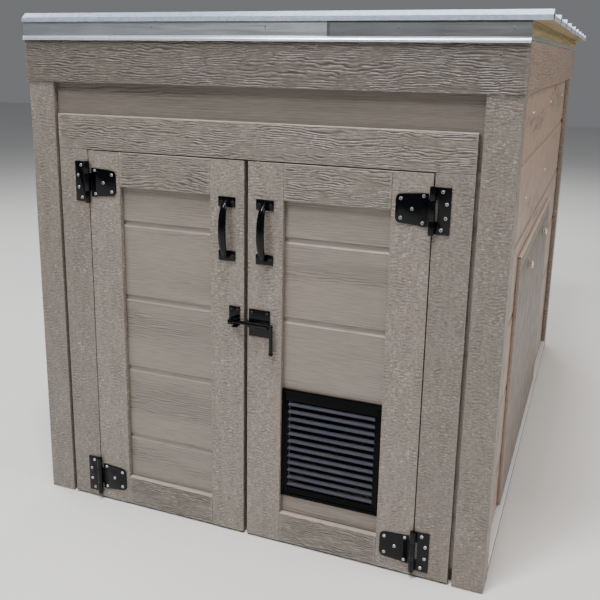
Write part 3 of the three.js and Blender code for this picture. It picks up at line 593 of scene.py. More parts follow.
def hexHead(place, outward, across=0.013, height=0.006, washer=0.0):
    bm = bmesh.new()
    corner = across / 1.732
    bmesh.ops.create_cone(bm, cap_ends=True, segments=6, radius1=corner, radius2=corner, depth=height)
    top = [e for e in bm.edges if e.verts[0].co.z > 0 and e.verts[1].co.z > 0]
    bmesh.ops.bevel(bm, geom=top, offset=across * 0.07, segments=1, profile=0.5, affect="EDGES", material=-1)
    bmesh.ops.translate(bm, vec=(0, 0, height / 2), verts=bm.verts)
    if washer:
        bmesh.ops.create_cone(bm, cap_ends=True, segments=16, radius1=washer, radius2=washer * 0.9,
                              depth=0.0016, matrix=Matrix.Translation((0, 0, 0.0008)))
    return aimed(bm, outward, place)


def assemble(name, body, parts, replaces=(), crease=0.6):
    # parts is a list of (bmesh, material), or (bmesh, material, material of its index 1)
    whole = bmesh.new()
    whole.verts.layers.float.new("hollow")
    mesh = bpy.data.meshes.new(name)
    finishes = []
    for part, *coats in parts:
        for finish in coats:
            if finish not in finishes:
                finishes.append(finish)
        for face in part.faces:
            finish = coats[min(face.material_index, len(coats) - 1)]
            face.material_index = finishes.index(finish)
        if not part.verts.layers.float.get("hollow"):
            part.verts.layers.float.new("hollow")
        scrap = bpy.data.meshes.new("scrap")
        part.to_mesh(scrap)
        part.free()
        whole.from_mesh(scrap)
        bpy.data.meshes.remove(scrap)
    whole.normal_update()
    for face in whole.faces:
        face.smooth = True
    for edge in whole.edges:
        if len(edge.link_faces) != 2 or edge.calc_face_angle() > crease:
            edge.smooth = False
    whole.to_mesh(mesh)
    whole.free()
    for finish in finishes:
        mesh.materials.append(finish)
    made = bpy.data.objects.new(name, mesh)
    bpy.context.scene.collection.objects.link(made)
    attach(made, body)
    if replaces:
        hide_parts(*replaces)


def rectangle(a0, a1, b0, b1):
    return [(a0, b0), (a1, b0), (a1, b1), (a0, b1)]


def mirrored(side, near, far):
    # the two ends of a span, in order, on one side of the middle
    return (near, far) if side > 0 else (-far, -near)


trim = {"front": -0.940, "back": -0.9243, "outer": 0.630, "cornerWidth": 0.076, "thickness": 0.0157,
        "cornerTop": 1.1817, "headerBottom": 1.011, "headerTop": 1.100, "casingInner": 0.4565,
        "casingOuter": 0.544, "casingBottom": 0.005, "relief": 0.0014, "ripple": 0.0021,
        "nailX": 0.600, "nailHeights": (0.05, 0.41, 0.77, 1.135)}


def nailDimple(place, outward, radius=0.004):
    # a filled nail hole: a shallow ring in the paint
    bm = bmesh.new()
    bmesh.ops.create_cone(bm, cap_ends=True, segments=12, radius1=radius, radius2=radius * 0.8, depth=0.0006)
    crown = max(bm.faces, key=lambda f: f.calc_center_median().z)
    bmesh.ops.inset_individual(bm, faces=[crown], thickness=radius * 0.4, depth=-0.0006)
    return aimed(bm, outward, place)


def makeCornerBoards():
    # each corner is a front board lapped over a side board, with the joint on the side face
    t, width, outer, gap = trim["thickness"], trim["cornerWidth"], trim["outer"], 0.0002
    for end, front in (("Front", -1), ("Rear", 1)):
        faceY = -trim["front"] * front
        for name, side in sides.items():
            y0, y1 = sorted((faceY, faceY - front * t))
            section = rectangle(*mirrored(side, outer - width, outer), y0, y1)
            wide = boardPart("z", 0, trim["cornerTop"], section, [(0, front, 0), (side, 0, 0)],
                             trim["relief"], scallops, side + front * 3, trim["ripple"], 0.004)
            y0, y1 = sorted((faceY - front * (t + gap), faceY - front * width))
            section = rectangle(*mirrored(side, outer - t, outer), y0, y1)
            narrow = boardPart("z", 0, trim["cornerTop"], section, [(side, 0, 0)], trim["relief"], scallops,
                               side * 5 + front, trim["ripple"] * 1.6, 0.006)
            parts = [(wide, paint["corner"]), (narrow, paint["corner"])]
            if front < 0:
                for z in trim["nailHeights"]:
                    dimple = nailDimple((side * trim["nailX"], faceY - 0.00025, z), (0, -1, 0))
                    parts.append((dimple, paint["corner"]))
            assemble(f"cornerBoard{end}{name.capitalize()}", "enclosure", parts,
                     [f"corner_board_{end.lower()}_{name}"])


frieze = {"low": 1.182, "high": 1.2917, "outerX": 0.635, "outerY": 0.944, "inner": 0.9243,
          "sideInner": 0.6143, "sideEnd": 0.924, "nailsX": (-0.585, -0.06, 0.577), "nailsZ": (1.205, 1.262)}


def makeFriezes():
    f = frieze
    for end, front in (("front", -1), ("rear", 1)):
        y0, y1 = sorted((front * f["outerY"], front * f["inner"]))
        board = boardPart("x", -f["outerX"], f["outerX"], rectangle(y0, y1, f["low"], f["high"]),
                          [(0, front, 0)], trim["relief"] * 1.3, ridges, 2.0 + front, 0.008, 0.0018, 0.0022)
        parts = [(board, paint["frieze"])]
        if front < 0:
            parts += [(nailDimple((x, -f["outerY"] - 0.00025, z), (0, -1, 0)), paint["frieze"])
                      for x in f["nailsX"] for z in f["nailsZ"]]
        assemble(f"frieze{end.capitalize()}", "enclosure", parts, [f"frieze_{end}"])
    for name, side in sides.items():
        section = rectangle(*mirrored(side, f["sideInner"], f["outerX"]), f["low"], f["high"])
        board = boardPart("y", -f["sideEnd"], f["sideEnd"], section, [(side, 0, 0)], trim["relief"] * 1.2,
                          ridges, 6.0 + side, 0.016, 0.0025)
        assemble(f"frieze{name.capitalize()}", "enclosure", [(board, paint["sideRail"])],
                 [f"frieze_{name}"])


def makeHeaderAndCasings():
    front, back = trim["front"], trim["back"]
    board = boardPart("x", -trim["casingOuter"], trim["casingOuter"],
                      rectangle(front, back, trim["headerBottom"], trim["headerTop"]), [(0, -1, 0)],
                      trim["relief"] * 1.3, ridges, 11.0, 0.007, 0.0018, 0.0026)
    assemble("headerBoard", "enclosure", [(board, paint["frontRail"], paint["arrisHighlight"])],
             ["header_board"])
    for name, side in sides.items():
        x0, x1 = mirrored(side, trim["casingInner"], trim["casingOuter"])
        board = boardPart("z", trim["casingBottom"], trim["headerBottom"] - 0.001,
                          rectangle(x0, x1, front, back), [(0, -1, 0)], trim["relief"], scallops, 13.0 + side,
                          trim["ripple"], 0.004)
        assemble(f"casing{name.capitalize()}", "enclosure", [(board, paint["corner"])],
                 [f"casing_{name}"])


siding = {"thickness": 0.0092, "grooveDepth": 0.0035, "grooveHeight": 0.017, "bottom": 0.0383, "top": 1.292,
          "wallGrooves": (1.018, 0.8148, 0.6116, 0.4084, 0.2052),
          "doorGrooves": (0.828, 0.6248, 0.4216, 0.2184),
          "pressed": 0.0011, "wallX": 0.614, "wallY": 0.924, "wallEndX": 0.6137, "wallEndY": 0.9142,
          "coverHole": (-0.560, 0.360, 0.100, 0.715), "stripBottom": 1.011, "doorOpening": 0.4585,
          "exhaustPort": ((-0.030, 0.924, 0.430), 0.034), "screwX": 0.6138,
          "screws": ((-0.502, 1.121), (-0.509, 0.9), (0.1, 1.121), (0.1, 0.9), (0.7, 1.121))}


def sidingFace(bottom, top, grooveTops):
    # heights and depths up the face: a square shoulder above each groove and a slope below it
    face = [(0, bottom)]
    d = siding["grooveDepth"]
    for z in sorted(grooveTops):
        foot = z - siding["grooveHeight"]
        if bottom < foot and z < top:
            face += [(0, foot), (d * 0.85, foot + 0.004), (d, foot + 0.006), (d, z - 0.0006), (d * 0.8, z),
                     (0.0004, z), (0, z + 0.0006)]
    face.append((0, top))
    return face


def sidingPart(grain, start, end, bottom, top, grooveTops, plane, outward, stride, split, seed, hole=None,
               port=None):
    # a sheet with its face on the given plane; hole is (start, end, bottom, top), port is (centre, radius)
    lengthwise = axisNumber[grain]
    normal = axisNumber["y" if grain == "x" else "x"]
    bm = bmesh.new()

    def place(depth, z):
        spot = Vector((0, 0, z))
        spot[lengthwise] = start
        spot[normal] = plane - outward * depth
        return spot

    def cutAway(within):
        inside = [f for f in bm.faces if within(f.calc_center_median())]
        bmesh.ops.delete(bm, geom=inside, context="FACES")

    stations = sidingFace(bottom, top, grooveTops)
    if hole:
        for z in hole[2:]:
            index = next(i for i, (_, height) in enumerate(stations) if height > z)
            stations.insert(index, (0, z))
    chain = [bm.verts.new(place(depth, z)) for depth, z in stations]
    for edge in [bm.edges.new(pair) for pair in zip(chain, chain[1:])]:
        if edge.calc_length() > split * 1.5:
            bmesh.ops.subdivide_edges(bm, edges=[edge], cuts=round(edge.calc_length() / split) - 1)
    stops = [start, hole[0], hole[1], end] if hole else [start, end]
    for a, b in zip(stops, stops[1:]):
        steps = max(1, round((b - a) / stride))
        push = Vector((0, 0, 0))
        push[lengthwise] = (b - a) / steps
        live = [e for e in bm.edges if all(abs(v.co[lengthwise] - a) < 1e-5 for v in e.verts)]
        bmesh.ops.spin(bm, geom=live + list({v for e in live for v in e.verts}), cent=(0, 0, 0),
                       axis=(0, 0, 1), angle=0, dvec=push, steps=steps, use_duplicate=False)
    bmesh.ops.recalc_face_normals(bm, faces=bm.faces)
    bm.normal_update()
    out = Vector((0, 0, 0))
    out[normal] = outward
    if sum(f.normal.dot(out) * f.calc_area() for f in bm.faces) < 0:
        bmesh.ops.reverse_faces(bm, faces=bm.faces)
    if hole:
        cutAway(lambda spot: hole[0] < spot[lengthwise] < hole[1] and hole[2] < spot.z < hole[3])
    if port:
        cutAway(lambda spot: (spot - Vector(port[0])).length < port[1])
    emboss(bm, out, grain, siding["pressed"], faintRidges, seed)
    # the edges are drawn back to a flat rear face
    rims = [e for e in bm.edges if e.is_boundary]
    rear = freshPoints(bmesh.ops.extrude_edge_only(bm, edges=rims))
    for vert in rear:
        vert.co[normal] = plane - outward * siding["thickness"]
    bmesh.ops.remove_doubles(bm, verts=rear, dist=1e-6)
    bmesh.ops.triangle_fill(bm, edges=[e for e in bm.edges if e.is_boundary], use_beauty=False)
    bmesh.ops.recalc_face_normals(bm, faces=bm.faces)
    return bm


def makeSiding():
    w = siding
    top, bottom, grooves, frontY = w["top"], w["bottom"], w["wallGrooves"], -w["wallY"]
    for name, side in sides.items():
        sheet = sidingPart("y", -w["wallEndY"], w["wallEndY"], bottom, top, grooves, w["wallX"] * side, side,
                           0.034, 0.0075, 21.0 + side, w["coverHole"] if side > 0 else None)
        parts = [(sheet, paint["sideSheet"])]
        if side > 0:
            parts += [(panHead((w["screwX"], y, z), (1, 0, 0), 0.0042, 0.002), metal["zinc"], coat["recess"])
                      for y, z in w["screws"]]
        assemble(f"siding{name.capitalize()}", "enclosure", parts, [f"{name}_siding"])
    sheet = sidingPart("x", -w["wallEndX"], w["wallEndX"], bottom, top, grooves, w["wallY"], 1, 0.03, 0.0075,
                       25.0, port=w["exhaustPort"])
    assemble("sidingRear", "enclosure", [(sheet, paint["frontSheet"])], ["rear_siding"])
    strip = sidingPart("x", -w["wallEndX"], w["wallEndX"], w["stripBottom"], top, (), frontY, -1, 0.016,
                       0.0028, 27.0)
    parts = [(strip, paint["shaded"])]
    for side in sides.values():
        x0, x1 = mirrored(side, w["doorOpening"], w["wallEndX"])
        jamb = sidingPart("x", x0, x1, bottom, w["stripBottom"] - 0.0001, (), frontY, -1, 0.03, 0.02, 29.0)
        parts.append((jamb, paint["frontSheet"]))
    assemble("sidingFront", "enclosure", parts, ["front_siding"])


door = {"meeting": 0.005, "hinged": 0.454, "bottom": 0.005, "top": 1.008, "stile": 0.093,
        "bottomRail": 0.083, "topRail": 0.089, "gap": 0.0003, "nailsX": (0.05, 0.41),
        "nailsZ": (0.045, 0.965), "ventHole": (0.1165, 0.3425, 0.163, 0.405)}


def makeDoors():
    front, back = trim["front"], trim["back"]
    d = door
    for name, side in sides.items():
        parts = []
        for number, near in enumerate((d["meeting"], d["hinged"] - d["stile"])):
            x0, x1 = mirrored(side, near, near + d["stile"])
            stile = boardPart("z", d["bottom"], d["top"], rectangle(x0, x1, front, back), [(0, -1, 0)],
                              trim["relief"], scallops, 31.0 + side * 3 + number, trim["ripple"], 0.004)
            parts.append((stile, paint["upright"]))
        x0, x1 = mirrored(side, d["meeting"] + d["stile"] + d["gap"], d["hinged"] - d["stile"] - d["gap"])
        for z0, z1 in ((d["bottom"], d["bottom"] + d["bottomRail"]), (d["top"] - d["topRail"], d["top"])):
            rail = boardPart("x", x0, x1, rectangle(front, back, z0, z1), [(0, -1, 0)],
                             trim["relief"] * 1.3, ridges, 37.0 + z0 + side, 0.007, 0.0018, 0.0024)
            parts.append((rail, paint["frontRail"], paint["arrisHighlight"]))
        parts += [(nailDimple((x * side, front - 0.00025, z), (0, -1, 0), 0.003), paint["upright"])
                  for x in d["nailsX"] for z in d["nailsZ"]]
        assemble(f"{name}DoorFrame", f"{name}_door", parts, [f"{name}_door_frame"])
        x0, x1 = mirrored(side, d["meeting"], d["hinged"])
        sheet = sidingPart("x", x0, x1, d["bottom"], d["top"], siding["doorGrooves"], -siding["wallY"], -1,
                           0.015, 0.0025, 41.0 + side, d["ventHole"] if side > 0 else None)
        assemble(f"{name}DoorPanel", f"{name}_door", [(sheet, paint["frontSheet"])],
                 [f"{name}_door_panel"])


base = {"ledgeTop": 0.038, "ledgeOuter": 0.630, "ledgeInner": 0.6138, "ledgeEnd": 0.8637, "cap": 0.0012,
        "dropFoot": 0.024, "frameEnd": 0.9145, "runnerInner": 0.5155, "runnerOuter": 0.6137, "middle": 0.0445,
        "floorX": 0.6045, "floorBottom": 0.0383, "floorTop": 0.057, "postFoot": 0.0573, "postTop": 1.292,
        "postOuter": 0.6042, "postInner": {"front": 0.442, "rear": 0.5155}, "postDepth": 0.038}


def makeBase():
    b = base
    end, ledgeEnd, ledgeTop = b["frameEnd"], b["ledgeEnd"], b["ledgeTop"]
    for name, side in sides.items():
        x0, x1 = mirrored(side, b["runnerInner"], b["runnerOuter"])
        inner = boardPart("y", -end, end, rectangle(x0, x1, 0, ledgeTop), [(side, 0, 0)], 0.0003, ridges,
                          51.0, 0.06, 0.02)
        x0, x1 = mirrored(side, b["ledgeInner"], b["ledgeOuter"] - 0.001)
        ledge = boardPart("y", -ledgeEnd, ledgeEnd, rectangle(x0, x1, 0, ledgeTop - b["cap"]), [(side, 0, 0)],
                          0.0003, ridges, 52.0, 0.05, 0.006)
        x0, x1 = mirrored(side, b["ledgeInner"], b["ledgeOuter"])
        cap = boxPart((x0, -ledgeEnd, ledgeTop - b["cap"]), (x1, ledgeEnd, ledgeTop), 0.0004)
        x0, x1 = mirrored(side, b["ledgeOuter"] - 0.0008, b["ledgeOuter"])
        drop = boxPart((x0, -ledgeEnd, b["dropFoot"]), (x1, ledgeEnd, ledgeTop - b["cap"]), 0.0003)
        assemble(f"runner{name.capitalize()}", "enclosure",
                 [(inner, paint["cover"]), (ledge, paint["cover"]), (cap, metal["ledge"]),
                  (drop, metal["ledge"])],
                 [f"runner_{name}"])
    middle = boardPart("y", -end, end, rectangle(-b["middle"], b["middle"], 0, ledgeTop), [(0, 0, 1)], 0.0003,
                       ridges, 53.0, 0.06, 0.02)
    assemble("runnerCentre", "enclosure", [(middle, wood["frameY"])], ["runner_centre"])
    floor = boardPart("y", -end, end, rectangle(-b["floorX"], b["floorX"], b["floorBottom"], b["floorTop"]),
                      [(0, 0, 1)], 0.0002, ridges, 54.0, 0.06, 0.02)
    assemble("floorDeck", "enclosure", [(floor, wood["ply"])], ["floor_deck"])
    for name, side in sides.items():
        for place, inner in b["postInner"].items():
            x0, x1 = mirrored(side, inner, b["postOuter"])
            y0, y1 = mirrored(1 if place == "rear" else -1, end - b["postDepth"], end)
            post = boardPart("z", b["postFoot"], b["postTop"], rectangle(x0, x1, y0, y1),
                             [(0, 1, 0), (0, -1, 0)], 0.0003, ridges, 55.0 + side, 0.05, 0.008, 0.003)
            assemble(f"{place}Post{name.capitalize()}", "enclosure", [(post, wood["frameZ"])],
                     [f"{place}_post_{name}"])


roofFrame = {"low": 1.2923, "high": 1.331, "outerX": 0.635, "outerY": 0.944, "width": 0.089, "half": 0.0445,
             "railEnd": 0.8548, "railStart": 0.0447, "lipX": (0.6351, 0.6355), "lipY": 0.9425,
             "lipZ": (1.2925, 1.3015), "deckX": (-0.634, 0.672), "deckY": 0.948, "deckZ": (1.3313, 1.340)}


def makeRoofFrame():
    r = roofFrame
    low, high = r["low"], r["high"]
    parts = []
    for y0, y1 in ((-r["outerY"], r["width"] - r["outerY"]), (-r["half"], r["half"]),
                   (r["outerY"] - r["width"], r["outerY"])):
        board = boardPart("x", -r["outerX"], r["outerX"], rectangle(y0, y1, low, high),
                          [(0, -1, 0), (0, 1, 0)], 0.0003, ridges, 61.0 + y0, 0.04, 0.008, 0.002)
        parts.append((board, wood["frameX"]))
    for side in sides.values():
        x0, x1 = mirrored(side, r["outerX"] - r["width"], r["outerX"])
        for y0, y1 in ((-r["railEnd"], -r["railStart"]), (r["railStart"], r["railEnd"])):
            board = boardPart("y", y0, y1, rectangle(x0, x1, low, high), [(side, 0, 0)], 0.0004, ridges,
                              64.0 + side + y0, 0.03, 0.005, 0.002)
            parts.append((board, wood["frameY"]))
    assemble("roofTopFrame", "enclosure", parts, ["top_frame"])
    lips = []
    for side in sides.values():
        a, b = mirrored(side, *r["lipX"])
        lips.append((boxPart((a, -r["lipY"], r["lipZ"][0]), (b, r["lipY"], r["lipZ"][1]), 0.00015),
                     metal["flashing"]))
    assemble("sideLips", "enclosure", lips)
    deck = boardPart("y", -r["deckY"], r["deckY"], rectangle(*r["deckX"], *r["deckZ"]), [(0, 0, -1)], 0.0002,
                     ridges, 66.0, 0.08, 0.03)
    assemble("roofDeck", "enclosure", [(deck, wood["ply"])], ["roof_deck"])


roofSheet = {"left": -0.6355, "right": 0.6735, "edge": 0.9495, "panTop": 1.3415, "ribTop": 1.353,
             "thickness": 0.0011, "ribPitch": 0.2286, "ribBase": 0.052, "ribCrown": 0.024, "skirt": 1.3314,
             "ribsEnd": 0.948, "swages": (0.33, 0.67), "swageFoot": 0.009, "swageCrown": 0.004,
             "swageHeight": 0.0022, "screwsX": (-0.562, -0.227, 0.026, 0.279, 0.53)}


def makeRoofSheet():
    # ribbed steel laid from side to side, folded down at all four edges
    r = roofSheet
    pan, left, right, edge, thin = take(r, "panTop left right edge thickness")
    half, crown = r["ribBase"] / 2, r["ribCrown"] / 2
    points = [(-edge, pan)]
    centres = []
    y = half - r["ribsEnd"]
    while y < r["ribsEnd"]:
        centres.append(y)
        y += r["ribPitch"]
    for y in centres:
        points += [(y - half, pan), (y - crown, r["ribTop"]), (y + crown, r["ribTop"]), (y + half, pan)]
        for swage in r["swages"]:        # two small stiffening swages in each pan
            middle, top = y + r["ribPitch"] * swage, pan + r["swageHeight"]
            if middle + 0.01 < edge:
                points += [(middle - r["swageFoot"], pan), (middle - r["swageCrown"], top),
                           (middle + r["swageCrown"], top), (middle + r["swageFoot"], pan)]
    points = [p for p in points if -edge <= p[0] <= edge] + [(edge, pan)]
    bm = bmesh.new()
    chain = [bm.verts.new((left, a, b)) for a, b in points]
    edges = [bm.edges.new((a, b)) for a, b in zip(chain, chain[1:]) if (a.co - b.co).length > 1e-6]
    steps = 40
    bmesh.ops.spin(bm, geom=chain + edges, cent=(0, 0, 0), axis=(0, 0, 1), angle=0,
                   dvec=((right - left) / steps, 0, 0), steps=steps, use_duplicate=False)
    bmesh.ops.remove_doubles(bm, verts=bm.verts, dist=1e-5)
    bmesh.ops.recalc_face_normals(bm, faces=bm.faces)
    bm.normal_update()
    if sum(f.normal.z for f in bm.faces) < 0:
        bmesh.ops.reverse_faces(bm, faces=bm.faces)
    for vert in bm.verts:                # hand-laid sheet never lies quite flat
        if vert.co.z < pan + 0.0005 and abs(vert.co.y) < 0.93 and -0.6 < vert.co.x < 0.64:
            vert.co.z -= 0.0005 * (0.5 + 0.5 * noise.noise(Vector((vert.co.x * 4, vert.co.y * 5, 2.2))))
    bmesh.ops.solidify(bm, geom=bm.faces[:], thickness=thin)
    parts = [(bm, metal["roof"])]
    for y0, y1 in ((-edge, thin - edge), (edge - thin, edge)):
        parts.append((boxPart((left, y0, r["skirt"]), (right, y1, pan), 0.0004), metal["roof"]))
    notch = half - 0.006
    for a, b in zip(centres, centres[1:] + [r["ribsEnd"] + notch]):
        for x0, x1 in ((left, left + thin), (right - thin, right)):
            skirt = boxPart((x0, a + notch, r["skirt"]), (x1, b - notch, pan - 0.0002), 0.0004)
            parts.append((skirt, metal["roof"]))
    for y in [centre + 0.034 for centre in centres]:
        if y < 0.94:
            parts += [(hexHead((x, y, pan - 0.0004), (0, 0, 1), 0.008, 0.0055, 0.0075), metal["zinc"])
                      for x in r["screwsX"]]
    assemble("roofRibbedSheet", "enclosure", parts, ["roof_sheet"])


dripEdge = {"back": -0.9443, "face": -0.9455, "lip": -0.9513, "top": 1.331, "foot": 1.286, "lap": 0.204,
            "end": 0.635, "screwsX": (-0.55, -0.25, 0.05, 0.36, 0.6), "screwZ": 1.3185}


def makeDripEdge():
    # two lengths of folded flashing; the right one laps over the left one and stands slightly proud
    d = dripEdge
    back, foot, lip, lap = d["back"], d["foot"], d["lip"], d["lap"]
    parts = []
    for x0, x1, proud, finish in ((-d["end"], lap - 0.0002, 0.0, metal["flashing"]),
                                  (lap, d["end"], 0.0006, metal["flashingDark"])):
        face = d["face"] - proud * 0.4
        section = [(back, d["top"]), (face, d["top"]), (face, foot + 0.0125), (face - 0.0012, foot + 0.0105),
                   (back, foot + 0.0095)]
        hem = [(face - 0.0010, foot + 0.0103), (lip + 0.0026 - proud, foot + 0.0088),
               (lip + 0.0006 - proud, foot + 0.0048), (lip + 0.0010 - proud, foot + 0.001),
               (lip + 0.0026, foot + 0.0002), (lip + 0.0026, foot + 0.0062), (back, foot + 0.0085),
               (back, foot + 0.0093)]
        bm = sweptPart("x", x0, x1, section, 0.0003, 30)
        for vert in bm.verts:            # thin metal: the long face ripples slightly
            if vert.co.y < back - 0.0008 and vert.co.z > foot + 0.011:
                vert.co.y += 0.0003 * (0.5 + 0.5 * noise.noise(Vector((vert.co.x * 7, vert.co.z * 20, 4.0))))
        parts.append((bm, finish))
        # the hem takes the lighter flashing: a painted highlight on the lip
        parts.append((sweptPart("x", x0, x1, hem, 0.0003, 4), metal["hem"]))
    parts.append((boxPart((lap - 0.006, d["face"] - 0.0004, foot + 0.012),
                          (lap + 0.001, d["face"] + 0.0004, d["top"]), 0.0002), metal["flashingDark"]))
    for x in d["screwsX"]:
        screw = panHead((x, d["face"] + 0.0002, d["screwZ"]), (0, -1, 0), 0.003, 0.0012)
        parts.append((screw, metal["flashing"], coat["recess"]))
    assemble("dripEdge", "enclosure", parts, ["drip_edge"])


hinge = {"axisX": 0.455, "axisY": -0.9476, "barrel": 0.007, "middle": 0.0235, "leafReach": 0.040,
         "leafHeight": 0.106, "strapStart": 0.010, "strapReach": 0.084, "strapRoot": 0.0385,
         "strapTip": 0.0325,
         "plateFront": -0.9428, "plateBack": -0.9403, "upper": 0.926, "lower": 0.074, "pin": 0.0031,
         "jaw": 0.0062, "jawRoot": 0.0115, "curl": 0.0085, "play": 0.0004,
         "leafScrews": ((0.021, 0.043), (0.021, -0.043), (0.031, 0.016), (0.030, -0.016)),
         "strapScrews": ((0.0205, 0.031), (0.0725, 0.0225), (0.046, 0), (0.021, -0.0305), (0.0715, -0.022))}


def makeHinges():
    h = hinge
    front, back, middle = take(h, "plateFront plateBack middle")
    root, tip, start = take(h, "strapRoot strapTip strapStart")
    for name, side in sides.items():
        pin = (h["axisX"] * side, h["axisY"])

        def at(distance):
            return (h["axisX"] - distance) * side

        def plate(points, ease):
            bm = bmesh.new()
            corners = [bm.verts.new((at(distance), back, z + dz)) for distance, dz in points]
            bm.faces.new(corners)
            bmesh.ops.bevel(bm, geom=corners, offset=ease, segments=4, profile=0.5, affect="VERTICES",
                            material=-1, clamp_overlap=True)
            moved = freshPoints(bmesh.ops.extrude_face_region(bm, geom=bm.faces[:]))
            bmesh.ops.translate(bm, vec=(0, front - back, 0), verts=moved)
            bmesh.ops.recalc_face_normals(bm, faces=bm.faces)
            rim = [e for e in bm.edges if all(abs(v.co.y - front) < 1e-6 for v in e.verts)]
            bmesh.ops.bevel(bm, geom=rim, offset=0.0006, segments=2, profile=0.5, affect="EDGES", material=-1)
            return bm

        def knuckle(z0, z1):
            return rodPart("z", h["barrel"], z + z0, z + z1, pin, 28, 0.0006)

        def tongue(near, far, z0, z1):
            # the plate rises and curls into the barrel
            x0, x1 = sorted((at(near), at(far)))
            return boxPart((x0, front, z + z0), (x1, back, z + z1), 0.0006)

        def finish(piece, body, shapes, screws):
            parts = [(shape, coat["black"]) for shape in shapes]
            for distance, dz in screws:
                head = panHead((at(distance), front + 0.0003, z + dz), (0, -1, 0))
                parts.append((head, metal["zinc"], coat["recess"]))
            assemble(f"hinge{piece}{level.capitalize()}{name.capitalize()}", body, parts,
                     [f"hinge_{piece.lower()}_{level}_{name}"])

        for level in ("upper", "lower"):
            z = h[level]
            half = h["leafHeight"] / 2
            reach, jaw, jawRoot, curl, strapReach = take(h, "leafReach jaw jawRoot curl strapReach")
            notch, top = middle + 0.0006, half + 0.002
            leaf = plate([(-reach, -half), (-jaw, -half), (-jaw, -notch), (-jawRoot, -notch),
                          (-jawRoot, notch), (-jaw, notch), (-jaw, half), (-reach, half)], 0.0016)
            finish("Leaf", "enclosure",
                   [leaf, knuckle(middle, top), knuckle(-top, -middle), tongue(-curl, 0, middle, half),
                    tongue(-curl, 0, -half, -middle),
                    rodPart("z", h["pin"], z - middle, z + middle, pin, 16)],
                   [(-distance, dz) for distance, dz in h["leafScrews"]])
            strap = plate([(start, -root), (strapReach, -tip), (strapReach, tip), (start, root)], 0.011)
            inner = middle - h["play"]
            finish("Strap", f"{name}_door",
                   [strap, tongue(start, start + 0.014, -root, root - 0.001), knuckle(-inner, inner),
                    tongue(0, start + 0.002, -inner, inner)], h["strapScrews"])


pull = {"x": 0.051, "top": 0.918, "bottom": 0.756, "plateWidth": 0.046, "plateHeight": 0.026, "back": -0.9403,
        "plateThickness": 0.003, "reach": 0.0370, "endWidth": 0.0100, "middleWidth": 0.0205,
        "endDepth": 0.0085, "middleDepth": 0.0145, "screwReach": 0.0155, "bossRadius": 0.0075}


def bowedGrip(x):
    # an oval bar bent into a bow, thickest half-way up: rings of a circle skinned one to the next
    p = pull
    bm = bmesh.new()
    rings = []
    stations = 28
    reach = p["reach"] - p["middleDepth"] / 2 - 0.002
    middle, half = (p["top"] + p["bottom"]) / 2, (p["top"] - p["bottom"]) / 2 - 0.011
    for i in range(stations + 1):
        angle = math.pi * i / stations
        swell = math.sin(angle) ** 1.1
        width = p["endWidth"] + (p["middleWidth"] - p["endWidth"]) * swell
        depth = p["endDepth"] + (p["middleDepth"] - p["endDepth"]) * swell
        run = reach * math.sin(angle) ** 0.96
        ring = bmesh.ops.create_circle(bm, cap_ends=False, segments=18, radius=0.5)["verts"]
        bmesh.ops.scale(bm, vec=(width, depth, 1), verts=ring)
        lean = math.atan2(math.cos(angle) * 0.75, 1) * (1.0 if abs(math.cos(angle)) < 0.98 else 1.5)
        bmesh.ops.rotate(bm, cent=(0, 0, 0), matrix=Matrix.Rotation(-lean, 3, "X"), verts=ring)
        spot = (x, p["back"] - 0.002 - run, middle + half * math.cos(angle))
        bmesh.ops.translate(bm, vec=spot, verts=ring)
        edges = list({e for v in ring for e in v.link_edges if e.other_vert(v) in ring})
        if rings:
            bmesh.ops.bridge_loops(bm, edges=rings[-1] + edges)
        rings.append(edges)
    for edges in (rings[0], rings[-1]):
        bmesh.ops.contextual_create(bm, geom=edges)
    bmesh.ops.recalc_face_normals(bm, faces=bm.faces)
    return bm


def makePulls():
    p = pull
    back, face, half = p["back"], p["back"] - p["plateThickness"], p["plateWidth"] / 2
    for name, side in sides.items():
        x = p["x"] * side
        parts = [(bowedGrip(x), coat["black"])]
        for z0 in (p["bottom"], p["top"] - p["plateHeight"]):
            z1, middle = z0 + p["plateHeight"], z0 + p["plateHeight"] / 2
            parts.append((boxPart((x - half, face, z0), (x + half, back, z1), 0.0012, 3), coat["black"]))
            for dx in (-p["screwReach"], p["screwReach"]):
                screw = panHead((x + dx, face + 0.0003, middle), (0, -1, 0), 0.0042, 0.0018)
                parts.append((screw, coat["blackScrew"], coat["recess"]))
            boss = rodPart("y", p["bossRadius"], back - 0.0075, back - 0.002, (x, middle), 20, 0.0012)
            parts.append((boss, coat["black"]))
        assemble(f"{name}PullHandle", f"{name}_door", parts, [f"{name}_pull_handle"])


latch = {"z": 0.602, "axisY": -0.9513, "plateFront": -0.9428, "plateBack": -0.9403, "rod": 0.0048,
         "barrel": 0.008, "bore": 0.0056, "left": 0.010, "right": 0.067, "handleX": 0.074,
         "handleBottom": 0.530, "plateFoot": 0.034, "plateHead": 0.037,
         "bands": ((0.0104, 0.0174), (0.0354, 0.0414), (0.0596, 0.0666)),
         "screws": ((0.0178, -0.0255), (0.0178, 0.0285), (0.0592, -0.0255), (0.0592, 0.0285)),
         "tip": -0.040, "collar": (-0.038, -0.033), "jawX": (-0.031, -0.016), "jawHeights": (-0.012, 0.0095),
         "keeperX": (-0.045, -0.015), "keeperZ": (-0.012, 0.038),
         "keeperScrews": ((-0.0385, 0.030), (-0.0215, 0.030), (-0.0385, -0.004))}


def tubePart(axis, radius, bore, start, end, at, steps=28, ease=0.0005):
    profile = [(bore, start), (radius - ease, start), (radius, start + ease), (radius, end - ease),
               (radius - ease, end), (bore, end)]
    return turnedPart(profile, axis, at, steps)


def ballPart(radius, at, around=16):
    bm = bmesh.new()
    bmesh.ops.create_uvsphere(bm, u_segments=around, v_segments=12, radius=radius)
    bmesh.ops.translate(bm, vec=at, verts=bm.verts)
    return bm


